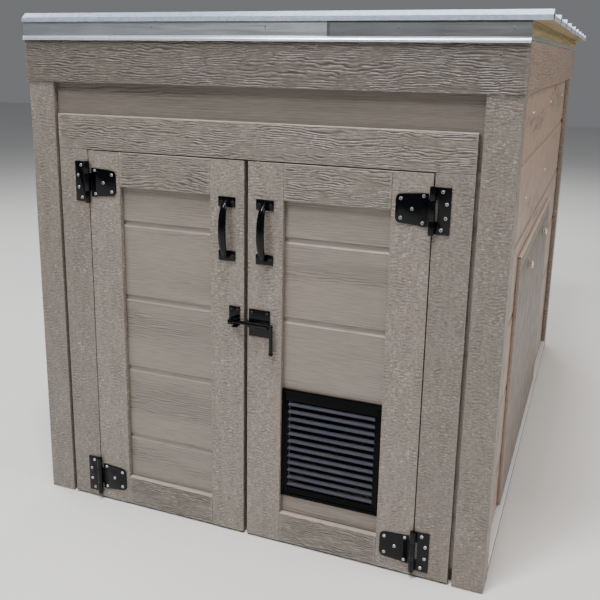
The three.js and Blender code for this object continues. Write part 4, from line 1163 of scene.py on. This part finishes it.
def makeLatch():
    m = latch
    z, y, left, right, front, back = take(m, "z axisY left right plateFront plateBack")
    black, at = coat["black"], (y, z)

    def screws(places, radius):
        return [(panHead((x, front + 0.0003, z + dz), (0, -1, 0), radius, 0.0018), coat["blackScrew"],
                 coat["recess"]) for x, dz in places]

    shapes = [boxPart((left, front, z - m["plateFoot"]), (right, back, z + m["plateHead"]), 0.0010, 3),
              tubePart("x", m["barrel"], m["bore"], left + 0.0004, right - 0.0004, at)]
    shapes += [tubePart("x", m["barrel"] + 0.0009, m["bore"], x0, x1, at) for x0, x1 in m["bands"]]
    shapes += [boxPart((left + 0.001, front - 0.0016, z - 0.0118),
                       (right - 0.001, front + 0.0004, z + 0.0118), 0.0007),
               boxPart((left + 0.0014, y + 0.0056, z - 0.0074), (right - 0.0014, front, z + 0.0074), 0.0005)]
    assemble("latchPlate", "right_door",
             [(shape, black) for shape in shapes] + screws(m["screws"], 0.0042), ["latch_plate"])

    handleX, bottom = m["handleX"], m["handleBottom"]
    shapes = [rodPart("x", m["rod"], m["tip"], handleX, at, 20),
              rodPart("x", 0.0074, m["tip"] - 0.002, m["tip"] + 0.0014, at, 24, 0.0009),
              ballPart(0.0052, (handleX, y, z)),
              rodPart("z", 0.0050, bottom + 0.004, z, (handleX, y), 20, 0.0, 0.0046),
              ballPart(0.0058, (handleX, y, bottom + 0.0005), 18)]
    assemble("latchBolt", "bolt", [(shape, black) for shape in shapes], ["latch_bolt"])
    assemble("boltCollar", "bolt_slider",
             [(tubePart("x", 0.0075, 0.0054, *m["collar"], at), black)], ["bolt_collar"])

    (x0, x1), (z0, z1) = m["keeperX"], m["keeperZ"]
    shapes = [boxPart((x0, front, z + z0), (x1, back, z + z1), 0.0010, 3)]
    x0, x1 = m["jawX"]
    shapes += [boxPart((x0, y - 0.008, z + low), (x1, front + 0.0005, z + low + 0.0025), 0.0007)
               for low in m["jawHeights"]]
    assemble("latchKeeper", "left_door",
             [(shape, black) for shape in shapes] + screws(m["keeperScrews"], 0.0038), ["latch_keeper"])


vent = {"left": 0.0985, "right": 0.3605, "bottom": 0.137, "top": 0.435, "front": -0.9313, "back": -0.9243,
        "openLeft": 0.1165, "openRight": 0.3425, "openBottom": 0.163, "openTop": 0.405, "blades": 12,
        "pitch": 0.0203, "first": 0.397}


def frameBars(outer, inner):
    # two full-width bars and two uprights between them; outer and inner are (x0, x1, z0, z1)
    x0, x1, z0, z1 = outer
    a0, a1, b0, b1 = inner
    return ((x0, x1, z0, b0), (x0, x1, b1, z1), (x0, a0, b0, b1), (a1, x1, b0, b1))


def makeVent():
    v = vent
    y0, y1 = v["front"], v["back"]
    outer, opening = take(v, "left right bottom top"), take(v, "openLeft openRight openBottom openTop")
    raised = [v["left"] + 0.008, v["right"] - 0.008, v["bottom"] + 0.009, v["top"] - 0.009]
    parts = [(boxPart((x0, y0 + 0.0018, z0), (x1, y1, z1), 0.0006), coat["louvre"])
             for x0, x1, z0, z1 in frameBars(outer, opening)]
    parts += [(boxPart((x0, y0, z0), (x1, y0 + 0.003, z1), 0.0009), coat["louvre"])
              for x0, x1, z0, z1 in frameBars(outer, raised)]
    for i in range(v["blades"]):
        z = v["first"] - i * v["pitch"]
        # a blade with a flat face and a turned-down lip
        section = [(y0 + 0.0005, z - 0.0050), (y0 + 0.0014, z - 0.0050), (y0 + 0.0016, z - 0.0034),
                   (y1 - 0.0004, z + 0.0022), (y1 - 0.0004, z + 0.0032), (y0 + 0.0006, z - 0.0024)]
        blade = sweptPart("x", v["openLeft"] - 0.001, v["openRight"] + 0.001, section, 0.0002)
        # grey-blue blades: painted reflection
        parts.append((blade, coat["blade"]))
    for x in (v["left"] + 0.012, v["right"] - 0.012):
        for z in (v["bottom"] + 0.017, v["top"] - 0.017):
            screw = panHead((x, y0 + 0.002, z), (0, -1, 0), 0.0032, 0.0014)
            parts.append((screw, coat["louvre"], coat["recess"]))
    assemble("ventLouvre", "right_door", parts, ["vent_louvre"])


cover = {"inner": 0.6143, "outer": 0.6233, "front": -0.595, "rear": 0.395, "bottom": 0.045, "top": 0.757,
         "knobZ": 0.681, "knobY": (-0.348, 0.154), "knobRadius": 0.011, "tip": 0.637, "groove": 0.0012}


def makeSideCover():
    c = cover
    inner, outer, front, rear, bottom, top = take(c, "inner outer front rear bottom top")
    radius, tip, sunk = c["knobRadius"], c["tip"], outer - c["groove"]
    # the sheet has one fine groove along it, near the top
    sheet = sweptPart("y", front, rear,
                      [(inner, bottom), (outer, bottom), (outer, top - 0.0395), (sunk, top - 0.0385),
                       (sunk, top - 0.0375), (outer, top - 0.0365), (outer, top - 0.002),
                       (outer - 0.002, top), (inner, top)], 0.0004, 48)
    # the top edge and the front end are thin strips in lighter paints: painted highlights
    edge = boxPart((inner, front + 0.001, top - 0.0035), (outer + 0.0004, rear - 0.001, top + 0.0003), 0.0009)
    end = boxPart((inner, front - 0.0003, bottom + 0.001), (outer + 0.0003, front + 0.003, top - 0.004),
                  0.0009)
    parts = [(sheet, paint["cover"]), (edge, paint["edge"]), (end, paint["arrisHighlight"])]
    knob = [(0, outer - 0.001), (0.0075, outer - 0.001), (0.0065, outer + 0.004), (0.0095, outer + 0.0062),
            (radius, outer + 0.0085), (radius, tip - 0.0028), (0.0088, tip - 0.0007), (0.004, tip - 0.0001),
            (0, tip - 0.0001)]
    rose = [(0, outer - 0.0005), (0.0145, outer - 0.0005), (0.0140, outer + 0.0012), (0, outer + 0.0013)]
    for y in c["knobY"]:
        parts.append((turnedPart(knob, "x", (y, c["knobZ"]), 28), coat["knob"]))
        parts.append((turnedPart(rose, "x", (y, c["knobZ"]), 28), paint["cover"]))
    assemble("sideCover", "side_cover", parts, ["access_panel"])


placeCamera()
placeLamps()
makeCornerBoards()
makeFriezes()
makeHeaderAndCasings()
print("trim boards done")
makeSiding()
print("siding done")
makeDoors()
print("doors done")
makeBase()
makeRoofFrame()
makeRoofSheet()
makeDripEdge()
print("base and roof done")
makeHinges()
makePulls()
makeLatch()
makeVent()
makeSideCover()
print("hardware done")


stage = {"size": 14, "below": 0.0005}


def makeStage():
    bm = bmesh.new()
    bmesh.ops.create_grid(bm, x_segments=1, y_segments=1, size=stage["size"])
    bmesh.ops.translate(bm, vec=(0, 0, -stage["below"]), verts=bm.verts)
    mesh = bpy.data.meshes.new("studioFloor")
    bm.to_mesh(mesh)
    bm.free()
    floor = bpy.data.objects.new("studioFloor", mesh)
    bpy.context.scene.collection.objects.link(floor)
    made = Recipe("studioFloor", specular=0.2)
    made.color(made.blendColors(made.cloud(1.5), linear(232, 232, 230), linear(226, 226, 224)))
    made.roughness(made.ramp(made.cloud(3), 0.75, 0.85))
    mesh.materials.append(made.material)


makeStage()

# generator set: the CAD castings stay in view and are dressed; each has a finish and the width of its easing
kept = {"generator_pad": (coat["pad"], 0.004), "engine_block": (metal["alloy"], 0.0016),
        "blower_housing": (coat["cabinet"], 0.0014), "crank_and_rotor": (metal["turned"], 0.0012),
        "alternator": (metal["alloy"], 0.0016), "muffler": (metal["exhaust"], 0.0016),
        "exhaust_pipe": (metal["exhaust"], 0.0), "exhaust_outlet": (metal["flashing"], 0.0008),
        "air_cleaner": (coat["plastic"], 0.005), "control_box": (coat["cabinet"], 0.002),
        "start_switch": (coat["red"], 0.0008), "breaker_lever": (coat["plastic"], 0.0008),
        "battery": (coat["plastic"], 0.002)}


def keepCastings():
    # welded and eased
    for name, (finish, ease) in kept.items():
        node = nodes[name]
        node.data.materials.clear()
        node.data.materials.append(finish)
        weld = node.modifiers.new("weld", "WELD")
        weld.merge_threshold = 0.00002
        if ease:
            bevel = node.modifiers.new("ease", "BEVEL")
            bevel.width = ease
            bevel.segments = 2
            bevel.limit_method = "ANGLE"
            bevel.angle_limit = 0.7
            bevel.use_clamp_overlap = True


def around(count, offset=0.0):
    return [math.tau * (i + offset) / count for i in range(count)]


def hexHeads(places, outward, across, height, washer=0.0, finish=metal["zinc"]):
    return [(hexHead(place, outward, across, height, washer), finish) for place in places]


shaft = {"y": -0.100, "z": 0.262}
engine = {"front": -0.200, "deck": 0.350, "cylinder": (-0.090, -0.100), "headTop": 0.506, "coverTop": 0.536,
          "coverLow": (-0.158, 0.150), "coverHigh": (-0.022, 0.318),
          "coverRibs": (-0.128, -0.1, -0.08, -0.052), "ribZ": (0.166, 0.302),
          "boltX": (-0.151, -0.029), "boltZ": (0.158, 0.208, 0.258, 0.310),
          "middleBoltX": (-0.118, -0.062), "flange": ((-0.196, -0.216, 0.1077), (0.0, 0.012, 0.118)),
          "flangeBoltX": (-0.188, -0.03), "flangeBoltY": (-0.208, 0.004), "filler": (-0.022, -0.182),
          "dipstick": (-0.166, -0.186), "drain": (-0.04, 0.128), "headBolts": 0.060, "coverBolts": 0.040,
          "plug": (-0.060, 0.489)}


def makeEngineDetails():
    e = engine
    front, deck = e["front"], e["deck"]
    alloy, zinc = metal["alloy"], metal["zinc"]
    (x0, z0), (x1, z1) = e["coverLow"], e["coverHigh"]
    # a bolted side cover with ribs below the cylinder
    parts = [(boxPart((x0, front - 0.009, z0), (x1, front + 0.001, z1), 0.004, 3), alloy)]
    z0, z1 = e["ribZ"]
    for x in e["coverRibs"]:
        parts.append((boxPart((x - 0.003, front - 0.014, z0), (x + 0.003, front - 0.008, z1), 0.0015), alloy))
    places = [(x, front - 0.009, z) for x in e["boltX"] for z in e["boltZ"]]
    places += [(x, front - 0.009, z) for x in e["middleBoltX"] for z in (e["boltZ"][0], e["boltZ"][-1])]
    parts += hexHeads(places, (0, -1, 0), 0.010, 0.005, 0.0068)
    # base flange and its bolts
    parts.append((boxPart(*e["flange"], 0.002), alloy))
    places = [(x, y, e["flange"][1][2]) for x in e["flangeBoltX"] for y in e["flangeBoltY"]]
    parts += hexHeads(places, (0, 0, 1), 0.013, 0.007, 0.010)
    # oil filler, dipstick, the rocker cover's cap and the drain
    parts += [(rodPart("z", 0.016, deck - 0.002, deck + 0.012, e["filler"], 24, 0.002), coat["plastic"]),
              (rodPart("z", 0.0035, deck - 0.002, deck + 0.075, e["dipstick"], 12), metal["turned"]),
              (rodPart("z", 0.0085, deck + 0.072, deck + 0.088, e["dipstick"], 18, 0.002), coat["red"]),
              (rodPart("z", 0.012, e["coverTop"] - 0.001, e["coverTop"] + 0.010, e["cylinder"], 24, 0.0016),
               coat["plastic"])]
    drainX, drainZ = e["drain"]
    parts += hexHeads([(drainX, front, drainZ)], (0, -1, 0), 0.016, 0.009, 0.011, metal["brass"])
    # head and rocker cover bolts
    cx, cy = e["cylinder"]
    r = e["headBolts"]
    places = [(cx + dx, cy + dy, e["headTop"]) for dx in (-r, r) for dy in (-r, r)]
    parts += hexHeads(places, (0, 0, 1), 0.013, 0.008, 0.009)
    r = e["coverBolts"]
    places = [(cx + dx, cy + dy, e["coverTop"]) for dx in (-r, r) for dy in (-r, r)]
    parts += hexHeads(places, (0, 0, 1), 0.009, 0.005, 0.0065)
    # sparking plug with its boot on the front of the head
    parts += [(rodPart("y", 0.0105, -0.182, -0.171, e["plug"], 6, 0.0008), zinc),
              (rodPart("y", 0.0075, -0.206, -0.181, e["plug"], 20, 0.0015), coat["glass"]),
              (rodPart("y", 0.0115, -0.226, -0.198, e["plug"], 20, 0.003), coat["rubber"])]
    assemble("engineFittings", "enclosure", parts)


blower = {"left": -0.2583, "rings": (0.036, 0.054, 0.072, 0.090), "wire": 0.0013, "spokes": 8,
          "spoke": (0.034, 0.100), "boltCircle": 0.113, "lugs": (0, 3, 4, 7)}


def makeBlowerGuard():
    b = blower
    x, wire = b["left"], b["wire"]
    centre = (0, shaft["y"], shaft["z"])
    parts = []
    for radius in b["rings"]:
        section = [(radius - wire, x - 0.0032), (radius + wire, x - 0.0032), (radius + wire, x - 0.0012),
                   (radius - wire, x - 0.0012)]
        parts.append((turnedPart(section, "x", centre[1:], 48), coat["black"]))
    for angle in around(b["spokes"]):
        spoke = boxPart((x - 0.0034, -0.0012, b["spoke"][0]), (x - 0.0012, 0.0012, b["spoke"][1]), 0.0004)
        parts.append((aboutX(spoke, angle, centre), coat["black"]))
    for i, angle in enumerate(around(b["spokes"], 0.5)):
        y, z = (c + b["boltCircle"] * turn(angle) for c, turn in zip(centre[1:], (math.cos, math.sin)))
        parts += hexHeads([(x, y, z)], (-1, 0, 0), 0.010, 0.005, 0.007)
        if i in b["lugs"]:
            lug = boxPart((x + 0.066, y - 0.009, z - 0.009), (x + 0.0775, y + 0.009, z + 0.009), 0.002)
            parts.append((lug, coat["cabinet"]))
    assemble("blowerGuard", "enclosure", parts)


fan = {"blades": 18, "lean": 0.45, "bladeX": (-0.2455, -0.2378), "bladeReach": (0.060, 0.112), "coils": 6,
       "coilX": (0.052, 0.208), "coilReach": (0.0692, 0.0742), "coilHalf": 0.020}


def makeFlywheelFan():
    # blades on the flywheel's face and the rotor's windings
    f = fan
    centre = (0, shaft["y"], shaft["z"])
    (x0, x1), (z0, z1) = f["bladeX"], f["bladeReach"]
    parts = []
    for angle in around(f["blades"]):
        blade = boxPart((x0, -0.0016, z0), (x1, 0.0016, z1), 0.0006)
        bmesh.ops.rotate(blade, cent=(0, 0, (z0 + z1) / 2), matrix=Matrix.Rotation(f["lean"], 3, "X"),
                         verts=blade.verts)
        parts.append((aboutX(blade, angle, centre), metal["alloy"]))
    (x0, x1), (z0, z1) = f["coilX"], f["coilReach"]
    for angle in around(f["coils"]):
        coil = boxPart((x0, -f["coilHalf"], z0), (x1, f["coilHalf"], z1), 0.0020)
        parts.append((aboutX(coil, angle, centre), metal["copper"]))
    assemble("flywheelFan", "crankshaft", parts)


alternator = {"radius": 0.118, "fins": 30, "finX": (0.030, 0.236), "bare": (-2.2, -0.9), "bolts": 4,
              "rims": ((0.0008, 0.014), (0.238, 0.247)), "boltCircle": 0.1205, "slots": 16,
              "slotX": (0.2555, 0.2606), "slotReach": (0.062, 0.100),
              "box": ((0.095, -0.150, 0.378), (0.195, -0.060, 0.412)),
              "boxScrewsX": (0.104, 0.186), "boxScrewsY": (-0.141, -0.069)}


def makeAlternatorDetails():
    a = alternator
    radius, y, z = a["radius"], shaft["y"], shaft["z"]
    centre = (0, y, z)
    parts = []
    # cooling fins along the barrel, with none over its foot
    (x0, x1), (first, last) = a["finX"], a["bare"]
    for angle in around(a["fins"]):
        if not first < math.atan2(-math.cos(angle), math.sin(angle)) < last:
            fin = boxPart((x0, -0.0014, radius - 0.0015), (x1, 0.0014, radius + 0.0065), 0.0007)
            parts.append((aboutX(fin, angle, centre), metal["alloy"]))
    for x0, x1 in a["rims"]:
        section = rectangle(radius - 0.001, radius + 0.008, x0, x1)
        parts.append((turnedPart(section, "x", (y, z), 48), metal["alloy"]))
    end, circle = a["rims"][1][1], a["boltCircle"]
    parts += hexHeads([(end, y + circle * math.cos(angle), z + circle * math.sin(angle))
                       for angle in around(a["bolts"], 0.5)], (1, 0, 0), 0.010, 0.006)
    # vent slots in the end bell, as dark bars that paint the shade in the openings, and the terminal box on
    # top
    (x0, x1), (z0, z1) = a["slotX"], a["slotReach"]
    for angle in around(a["slots"]):
        slotBar = boxPart((x0, -0.0042, z0), (x1, 0.0042, z1), 0.0014)
        parts.append((aboutX(slotBar, angle, centre), coat["plastic"]))
    parts.append((boxPart(*a["box"], 0.004, 3), coat["cabinet"]))
    parts += [(panHead((x, dy, a["box"][1][2]), (0, 0, 1), 0.004, 0.002), metal["zinc"], coat["recess"])
              for x in a["boxScrewsX"] for dy in a["boxScrewsY"]]
    assemble("alternatorFittings", "enclosure", parts)


exhaust = {"y": 0.092, "z": 0.430, "seams": (-0.180, -0.008), "shieldX": (-0.170, -0.020),
           "strutX": (-0.150, -0.040), "slots": 7, "slotStart": -0.152, "slotPitch": 0.019,
           "outletX": -0.030, "clampY": (0.142, 0.155),
           "flangeY": 0.9283, "flangeCircle": 0.049, "flangeScrews": (0.8, 2.3, 3.95, 5.5)}


def makeExhaustDetails():
    e = exhaust
    y, z, outletX = e["y"], e["z"], e["outletX"]
    parts = []
    for x in e["seams"]:
        seam = [(0.0575, x - 0.004), (0.0605, x - 0.003), (0.0605, x + 0.003), (0.0575, x + 0.004)]
        parts.append((turnedPart(seam, "x", (y, z), 40), metal["exhaust"]))
    # slotted heat shield over the muffler
    section = [(-0.050, 0.052), (-0.020, 0.070), (0.020, 0.070), (0.050, 0.052), (0.050, 0.0505),
               (0.0195, 0.0685), (-0.0195, 0.0685), (-0.050, 0.0505)]
    shield = sweptPart("x", *e["shieldX"], [(y + dy, z + dz) for dy, dz in section], 0.0, 12)
    parts.append((shield, metal["flashing"]))
    for x in e["strutX"]:
        strut = boxPart((x - 0.008, y - 0.006, z + 0.056), (x + 0.008, y + 0.006, z + 0.069), 0.001)
        screw = panHead((x, y, z + 0.0702), (0, 0, 1), 0.0045, 0.002)
        parts += [(strut, metal["flashing"]), (screw, metal["zinc"], coat["recess"])]
    # the slots are near-black bars on the shield: painted shade in place of openings
    for i in range(e["slots"]):
        x = e["slotStart"] + i * e["slotPitch"]
        slotBar = boxPart((x, y - 0.014, z + 0.0698), (x + 0.006, y + 0.014, z + 0.0704), 0.0002)
        parts.append((slotBar, coat["recess"]))
    # clamp at the outlet stub, and the screws of the outlet's flange on the rear wall
    parts += [(turnedPart(rectangle(0.0243, 0.0275, *e["clampY"]), "y", (outletX, z), 32), metal["zinc"]),
              (boxPart((-0.036, 0.143, z + 0.026), (-0.024, 0.154, z + 0.040), 0.001), metal["zinc"])]
    parts += hexHeads([(-0.024, 0.1485, z + 0.034)], (1, 0, 0), 0.008, 0.005)
    for angle in e["flangeScrews"]:
        spot = (outletX + e["flangeCircle"] * math.cos(angle), e["flangeY"],
                z + e["flangeCircle"] * math.sin(angle))
        parts.append((panHead(spot, (0, 1, 0), 0.0045, 0.0022), metal["zinc"], coat["recess"]))
    assemble("exhaustFittings", "enclosure", parts)


airCleaner = {"lid": ((-0.160, -0.3165, 0.380), (-0.020, -0.311, 0.468)),
              "ribs": (0.396, 0.410, 0.424, 0.438, 0.452), "ribX": (-0.148, -0.032),
              "clips": (-0.168, -0.012), "nut": (-0.090, -0.262), "nutZ": (0.4755, 0.4885),
              "intake": (-0.090, 0.420),
              "bandY": (-0.208, -0.198)}


def makeAirCleanerDetails():
    a = airCleaner
    parts = [(boxPart(*a["lid"], 0.003, 3), coat["plastic"])]
    x0, x1 = a["ribX"]
    parts += [(boxPart((x0, -0.3185, z - 0.002), (x1, -0.3155, z + 0.002), 0.0009), coat["plastic"])
              for z in a["ribs"]]
    for x, out in zip(a["clips"], (-1, 1)):
        low, high = sorted((x - out * 0.002, x + out * 0.0045))
        parts += [(boxPart((low, -0.300, 0.408), (high, -0.262, 0.440), 0.0014), metal["zinc"]),
                  (boxPart((low, -0.312, 0.418), (high, -0.298, 0.430), 0.0012), metal["zinc"])]
    parts += [(rodPart("z", 0.014, *a["nutZ"], a["nut"], 10, 0.002), coat["plastic"]),
              (turnedPart(rectangle(0.0215, 0.0250, *a["bandY"]), "y", a["intake"], 28), metal["zinc"])]
    assemble("airCleanerFittings", "enclosure", parts)


panel = {"front": -0.372, "border": (0.078, 0.322, 0.348, 0.592), "borderWidth": 0.006,
         "switch": (0.124, 0.540, 0.020, 0.028), "breaker": (0.276, 0.540, 0.014, 0.030),  # x, z, half sizes
         "meter": (0.200, 0.540), "needle": -0.7, "sockets": (0.124, 0.200), "socketZ": 0.430,
         "lamps": ((0.258, "red"), (0.290, "glass")), "lampZ": 0.455, "fuse": (0.274, 0.410), "vents": 6,
         "ventX": (0.100, 0.224), "ventZ": 0.366, "ventPitch": 0.0065}


def makeControlPanel():
    p = panel
    f = p["front"]
    x0, x1, z0, z1 = p["border"]
    w = p["borderWidth"]
    # raised border, with the switch and breaker apertures left open between their frames
    parts = [(boxPart((a0, f - 0.0026, b0), (a1, f + 0.0004, b1), 0.0008), coat["cabinet"])
             for a0, a1, b0, b1 in frameBars(p["border"], (x0 + w, x1 - w, z0 + w, z1 - w))]
    for x in (x0 + w / 2, x1 - w / 2):
        for z in (z0 + w / 2, z1 - w / 2):
            screw = panHead((x, f - 0.0026, z), (0, -1, 0), 0.0038, 0.0016)
            parts.append((screw, metal["zinc"], coat["recess"]))
    for x, z, half, tall in (p["switch"], p["breaker"]):
        inner, short = half - 0.0055, tall - 0.0060
        for a0, a1, b0, b1 in ((-half, half, short, tall), (-half, half, -tall, -short),
                               (-half, -inner, -short, short), (inner, half, -short, short)):
            bar = boxPart((x + a0, f - 0.0020, z + b0), (x + a1, f + 0.0004, z + b1), 0.0007)
            parts.append((bar, coat["plastic"]))
    # meter with a plain dial and needle
    x, z = p["meter"]
    case = [(0, f - 0.004), (0.0275, f - 0.004), (0.0275, f - 0.0075), (0.0315, f - 0.0075),
            (0.0335, f - 0.0045), (0.0335, f + 0.0005), (0, f + 0.0005)]
    parts += [(turnedPart(case, "y", p["meter"], 40), coat["plastic"]),
              (rodPart("y", 0.0274, f - 0.0048, f - 0.0038, p["meter"], 40), coat["glass"])]

    def pointer(low, high, angle):
        bm = boxPart(low, high)
        bmesh.ops.rotate(bm, cent=(0, 0, 0), matrix=Matrix.Rotation(angle, 3, "Y"), verts=bm.verts)
        bmesh.ops.translate(bm, vec=(x, 0, z), verts=bm.verts)
        return bm

    for i in range(9):
        mark = pointer((-0.0007, f - 0.0052, 0.0195), (0.0007, f - 0.0046, 0.0245),
                       math.pi / 2 - math.radians(210 - i * 30))
        parts.append((mark, coat["recess"]))
    needle = pointer((-0.0006, f - 0.0058, -0.004), (0.0006, f - 0.0050, 0.021), p["needle"])
    parts.append((needle, coat["red"]))
    # two round sockets with hinged lids, two lamps and a fuse cap
    socket = [(0, f - 0.006), (0.0165, f - 0.006), (0.0175, f - 0.010), (0.0225, f - 0.010),
              (0.0240, f - 0.007), (0.0240, f + 0.0005), (0, f + 0.0005)]
    lamp = [(0, f - 0.0085), (0.0035, f - 0.0080), (0.0055, f - 0.0055), (0.0058, f - 0.001),
            (0.0080, f - 0.001), (0.0080, f + 0.0005), (0, f + 0.0005)]
    for x in p["sockets"]:
        parts.append((turnedPart(socket, "y", (x, p["socketZ"]), 36), coat["plastic"]))
        # the pin holes are near-black discs: painted shade in the holes
        for angle in (math.radians(90), math.radians(210), math.radians(330)):
            spot = (x + 0.0085 * math.cos(angle), p["socketZ"] + 0.0085 * math.sin(angle))
            parts.append((rodPart("y", 0.0024, f - 0.0072, f - 0.0058, spot, 12), coat["recess"]))
        parts.append((boxPart((x - 0.012, f - 0.009, 0.4530), (x + 0.012, f + 0.0005, 0.4600), 0.0014),
                      coat["plastic"]))
    for x, finish in p["lamps"]:
        parts.append((turnedPart(lamp, "y", (x, p["lampZ"]), 24), coat[finish]))
    parts.append((rodPart("y", 0.0095, f - 0.010, f, p["fuse"], 18, 0.0016), coat["plastic"]))
    for i in range(p["vents"]):          # louvred vents low on the front
        z = p["ventZ"] + i * p["ventPitch"]
        section = [(f + 0.0004, z), (f - 0.0030, z), (f - 0.0022, z + 0.0016), (f + 0.0004, z + 0.0042)]
        parts.append((sweptPart("x", *p["ventX"], section), coat["cabinet"]))
    assemble("controlPanelFittings", "enclosure", parts)


battery = {"left": -0.560, "right": -0.362, "front": -0.380, "rear": -0.250, "bottom": 0.0573,
           "top": 0.2353, "caps": 6, "capPitch": 0.030, "ribs": 9, "ribPitch": 0.0205,
           "strap": (-0.475, -0.447)}


def makeBatteryDetails():
    b = battery
    left, right, front, rear, bottom, top = take(b, "left right front rear bottom top")
    lid = boxPart((left - 0.002, front - 0.002, top - 0.024), (right + 0.002, rear + 0.002, top + 0.001),
                  0.003, 3)
    parts = [(lid, coat["rubber"])]
    for i in range(b["caps"]):
        spot = (left + 0.024 + i * b["capPitch"], rear - 0.034)
        parts.append((rodPart("z", 0.0095, top, top + 0.0055, spot, 20, 0.0012), coat["plastic"]))
    for i in range(b["ribs"]):           # upright ribs on the case
        x = left + 0.017 + i * b["ribPitch"]
        rib = boxPart((x - 0.003, front - 0.0018, bottom + 0.016), (x + 0.003, front + 0.001, top - 0.030),
                      0.0009)
        parts.append((rib, coat["plastic"]))
    for x, finish in ((left + 0.030, coat["red"]), (right - 0.030, coat["rubber"])):
        spot = (x, front + 0.035)
        collar = [(0.0085, top + 0.001), (0.014, top + 0.001), (0.013, top + 0.006), (0.0085, top + 0.006)]
        parts += [(turnedPart(collar, "z", spot, 24), finish),
                  (rodPart("z", 0.0082, top + 0.0055, top + 0.0145, spot, 24, 0.0012), metal["brass"])]
    # hold-down strap over the lid and down both sides
    x0, x1 = b["strap"]
    for y0, y1, z0, z1 in ((front - 0.004, rear + 0.004, top + 0.0008, top + 0.0032),
                           (front - 0.0045, front - 0.0022, bottom + 0.0002, top + 0.0030),
                           (rear + 0.0022, rear + 0.0045, bottom + 0.0002, top + 0.0030)):
        parts.append((boxPart((x0, y0, z0), (x1, y1, z1), 0.0006), coat["black"]))
    assemble("batteryFittings", "enclosure", parts)


pad = {"anchorsX": (-0.335, 0.335), "anchorsY": (-0.360, 0.160), "ribZ": (0.0615, 0.1005), "frontRibs": 22,
       "frontStart": -0.3275, "frontPitch": 0.0312, "frontY": (-0.3822, -0.3792), "sideRibs": 17,
       "sideStart": -0.352, "sidePitch": 0.0318, "sideX": (0.3492, 0.3522), "halfRib": 0.004}


def makePadDetails():
    p = pad
    (z0, z1), half = p["ribZ"], p["halfRib"]
    parts = []
    washer = [(0, 0.1070), (0.012, 0.1070), (0.012, 0.1090), (0.007, 0.1092), (0.007, 0.1100), (0, 0.1100)]
    for x in p["anchorsX"]:
        for y in p["anchorsY"]:
            parts.append((turnedPart(washer, "z", (x, y), 20), metal["zinc"]))
            parts += hexHeads([(x, y, 0.1092)], (0, 0, 1), 0.013, 0.007)
    y0, y1 = p["frontY"]
    for i in range(p["frontRibs"]):      # ribs round the moulded edge
        x = p["frontStart"] + i * p["frontPitch"]
        parts.append((boxPart((x - half, y0, z0), (x + half, y1, z1), 0.0012), coat["pad"]))
    for side in (-1, 1):
        low, high = mirrored(side, *p["sideX"])
        for i in range(p["sideRibs"]):
            y = p["sideStart"] + i * p["sidePitch"]
            parts.append((boxPart((low, y - half, z0), (high, y + half, z1), 0.0012), coat["pad"]))
    assemble("padRibs", "enclosure", parts)


keepCastings()
makeEngineDetails()
makeBlowerGuard()
makeFlywheelFan()
makeAlternatorDetails()
makeExhaustDetails()
makeAirCleanerDetails()
makeControlPanel()
makeBatteryDetails()
makePadDetails()
print("generator set done")
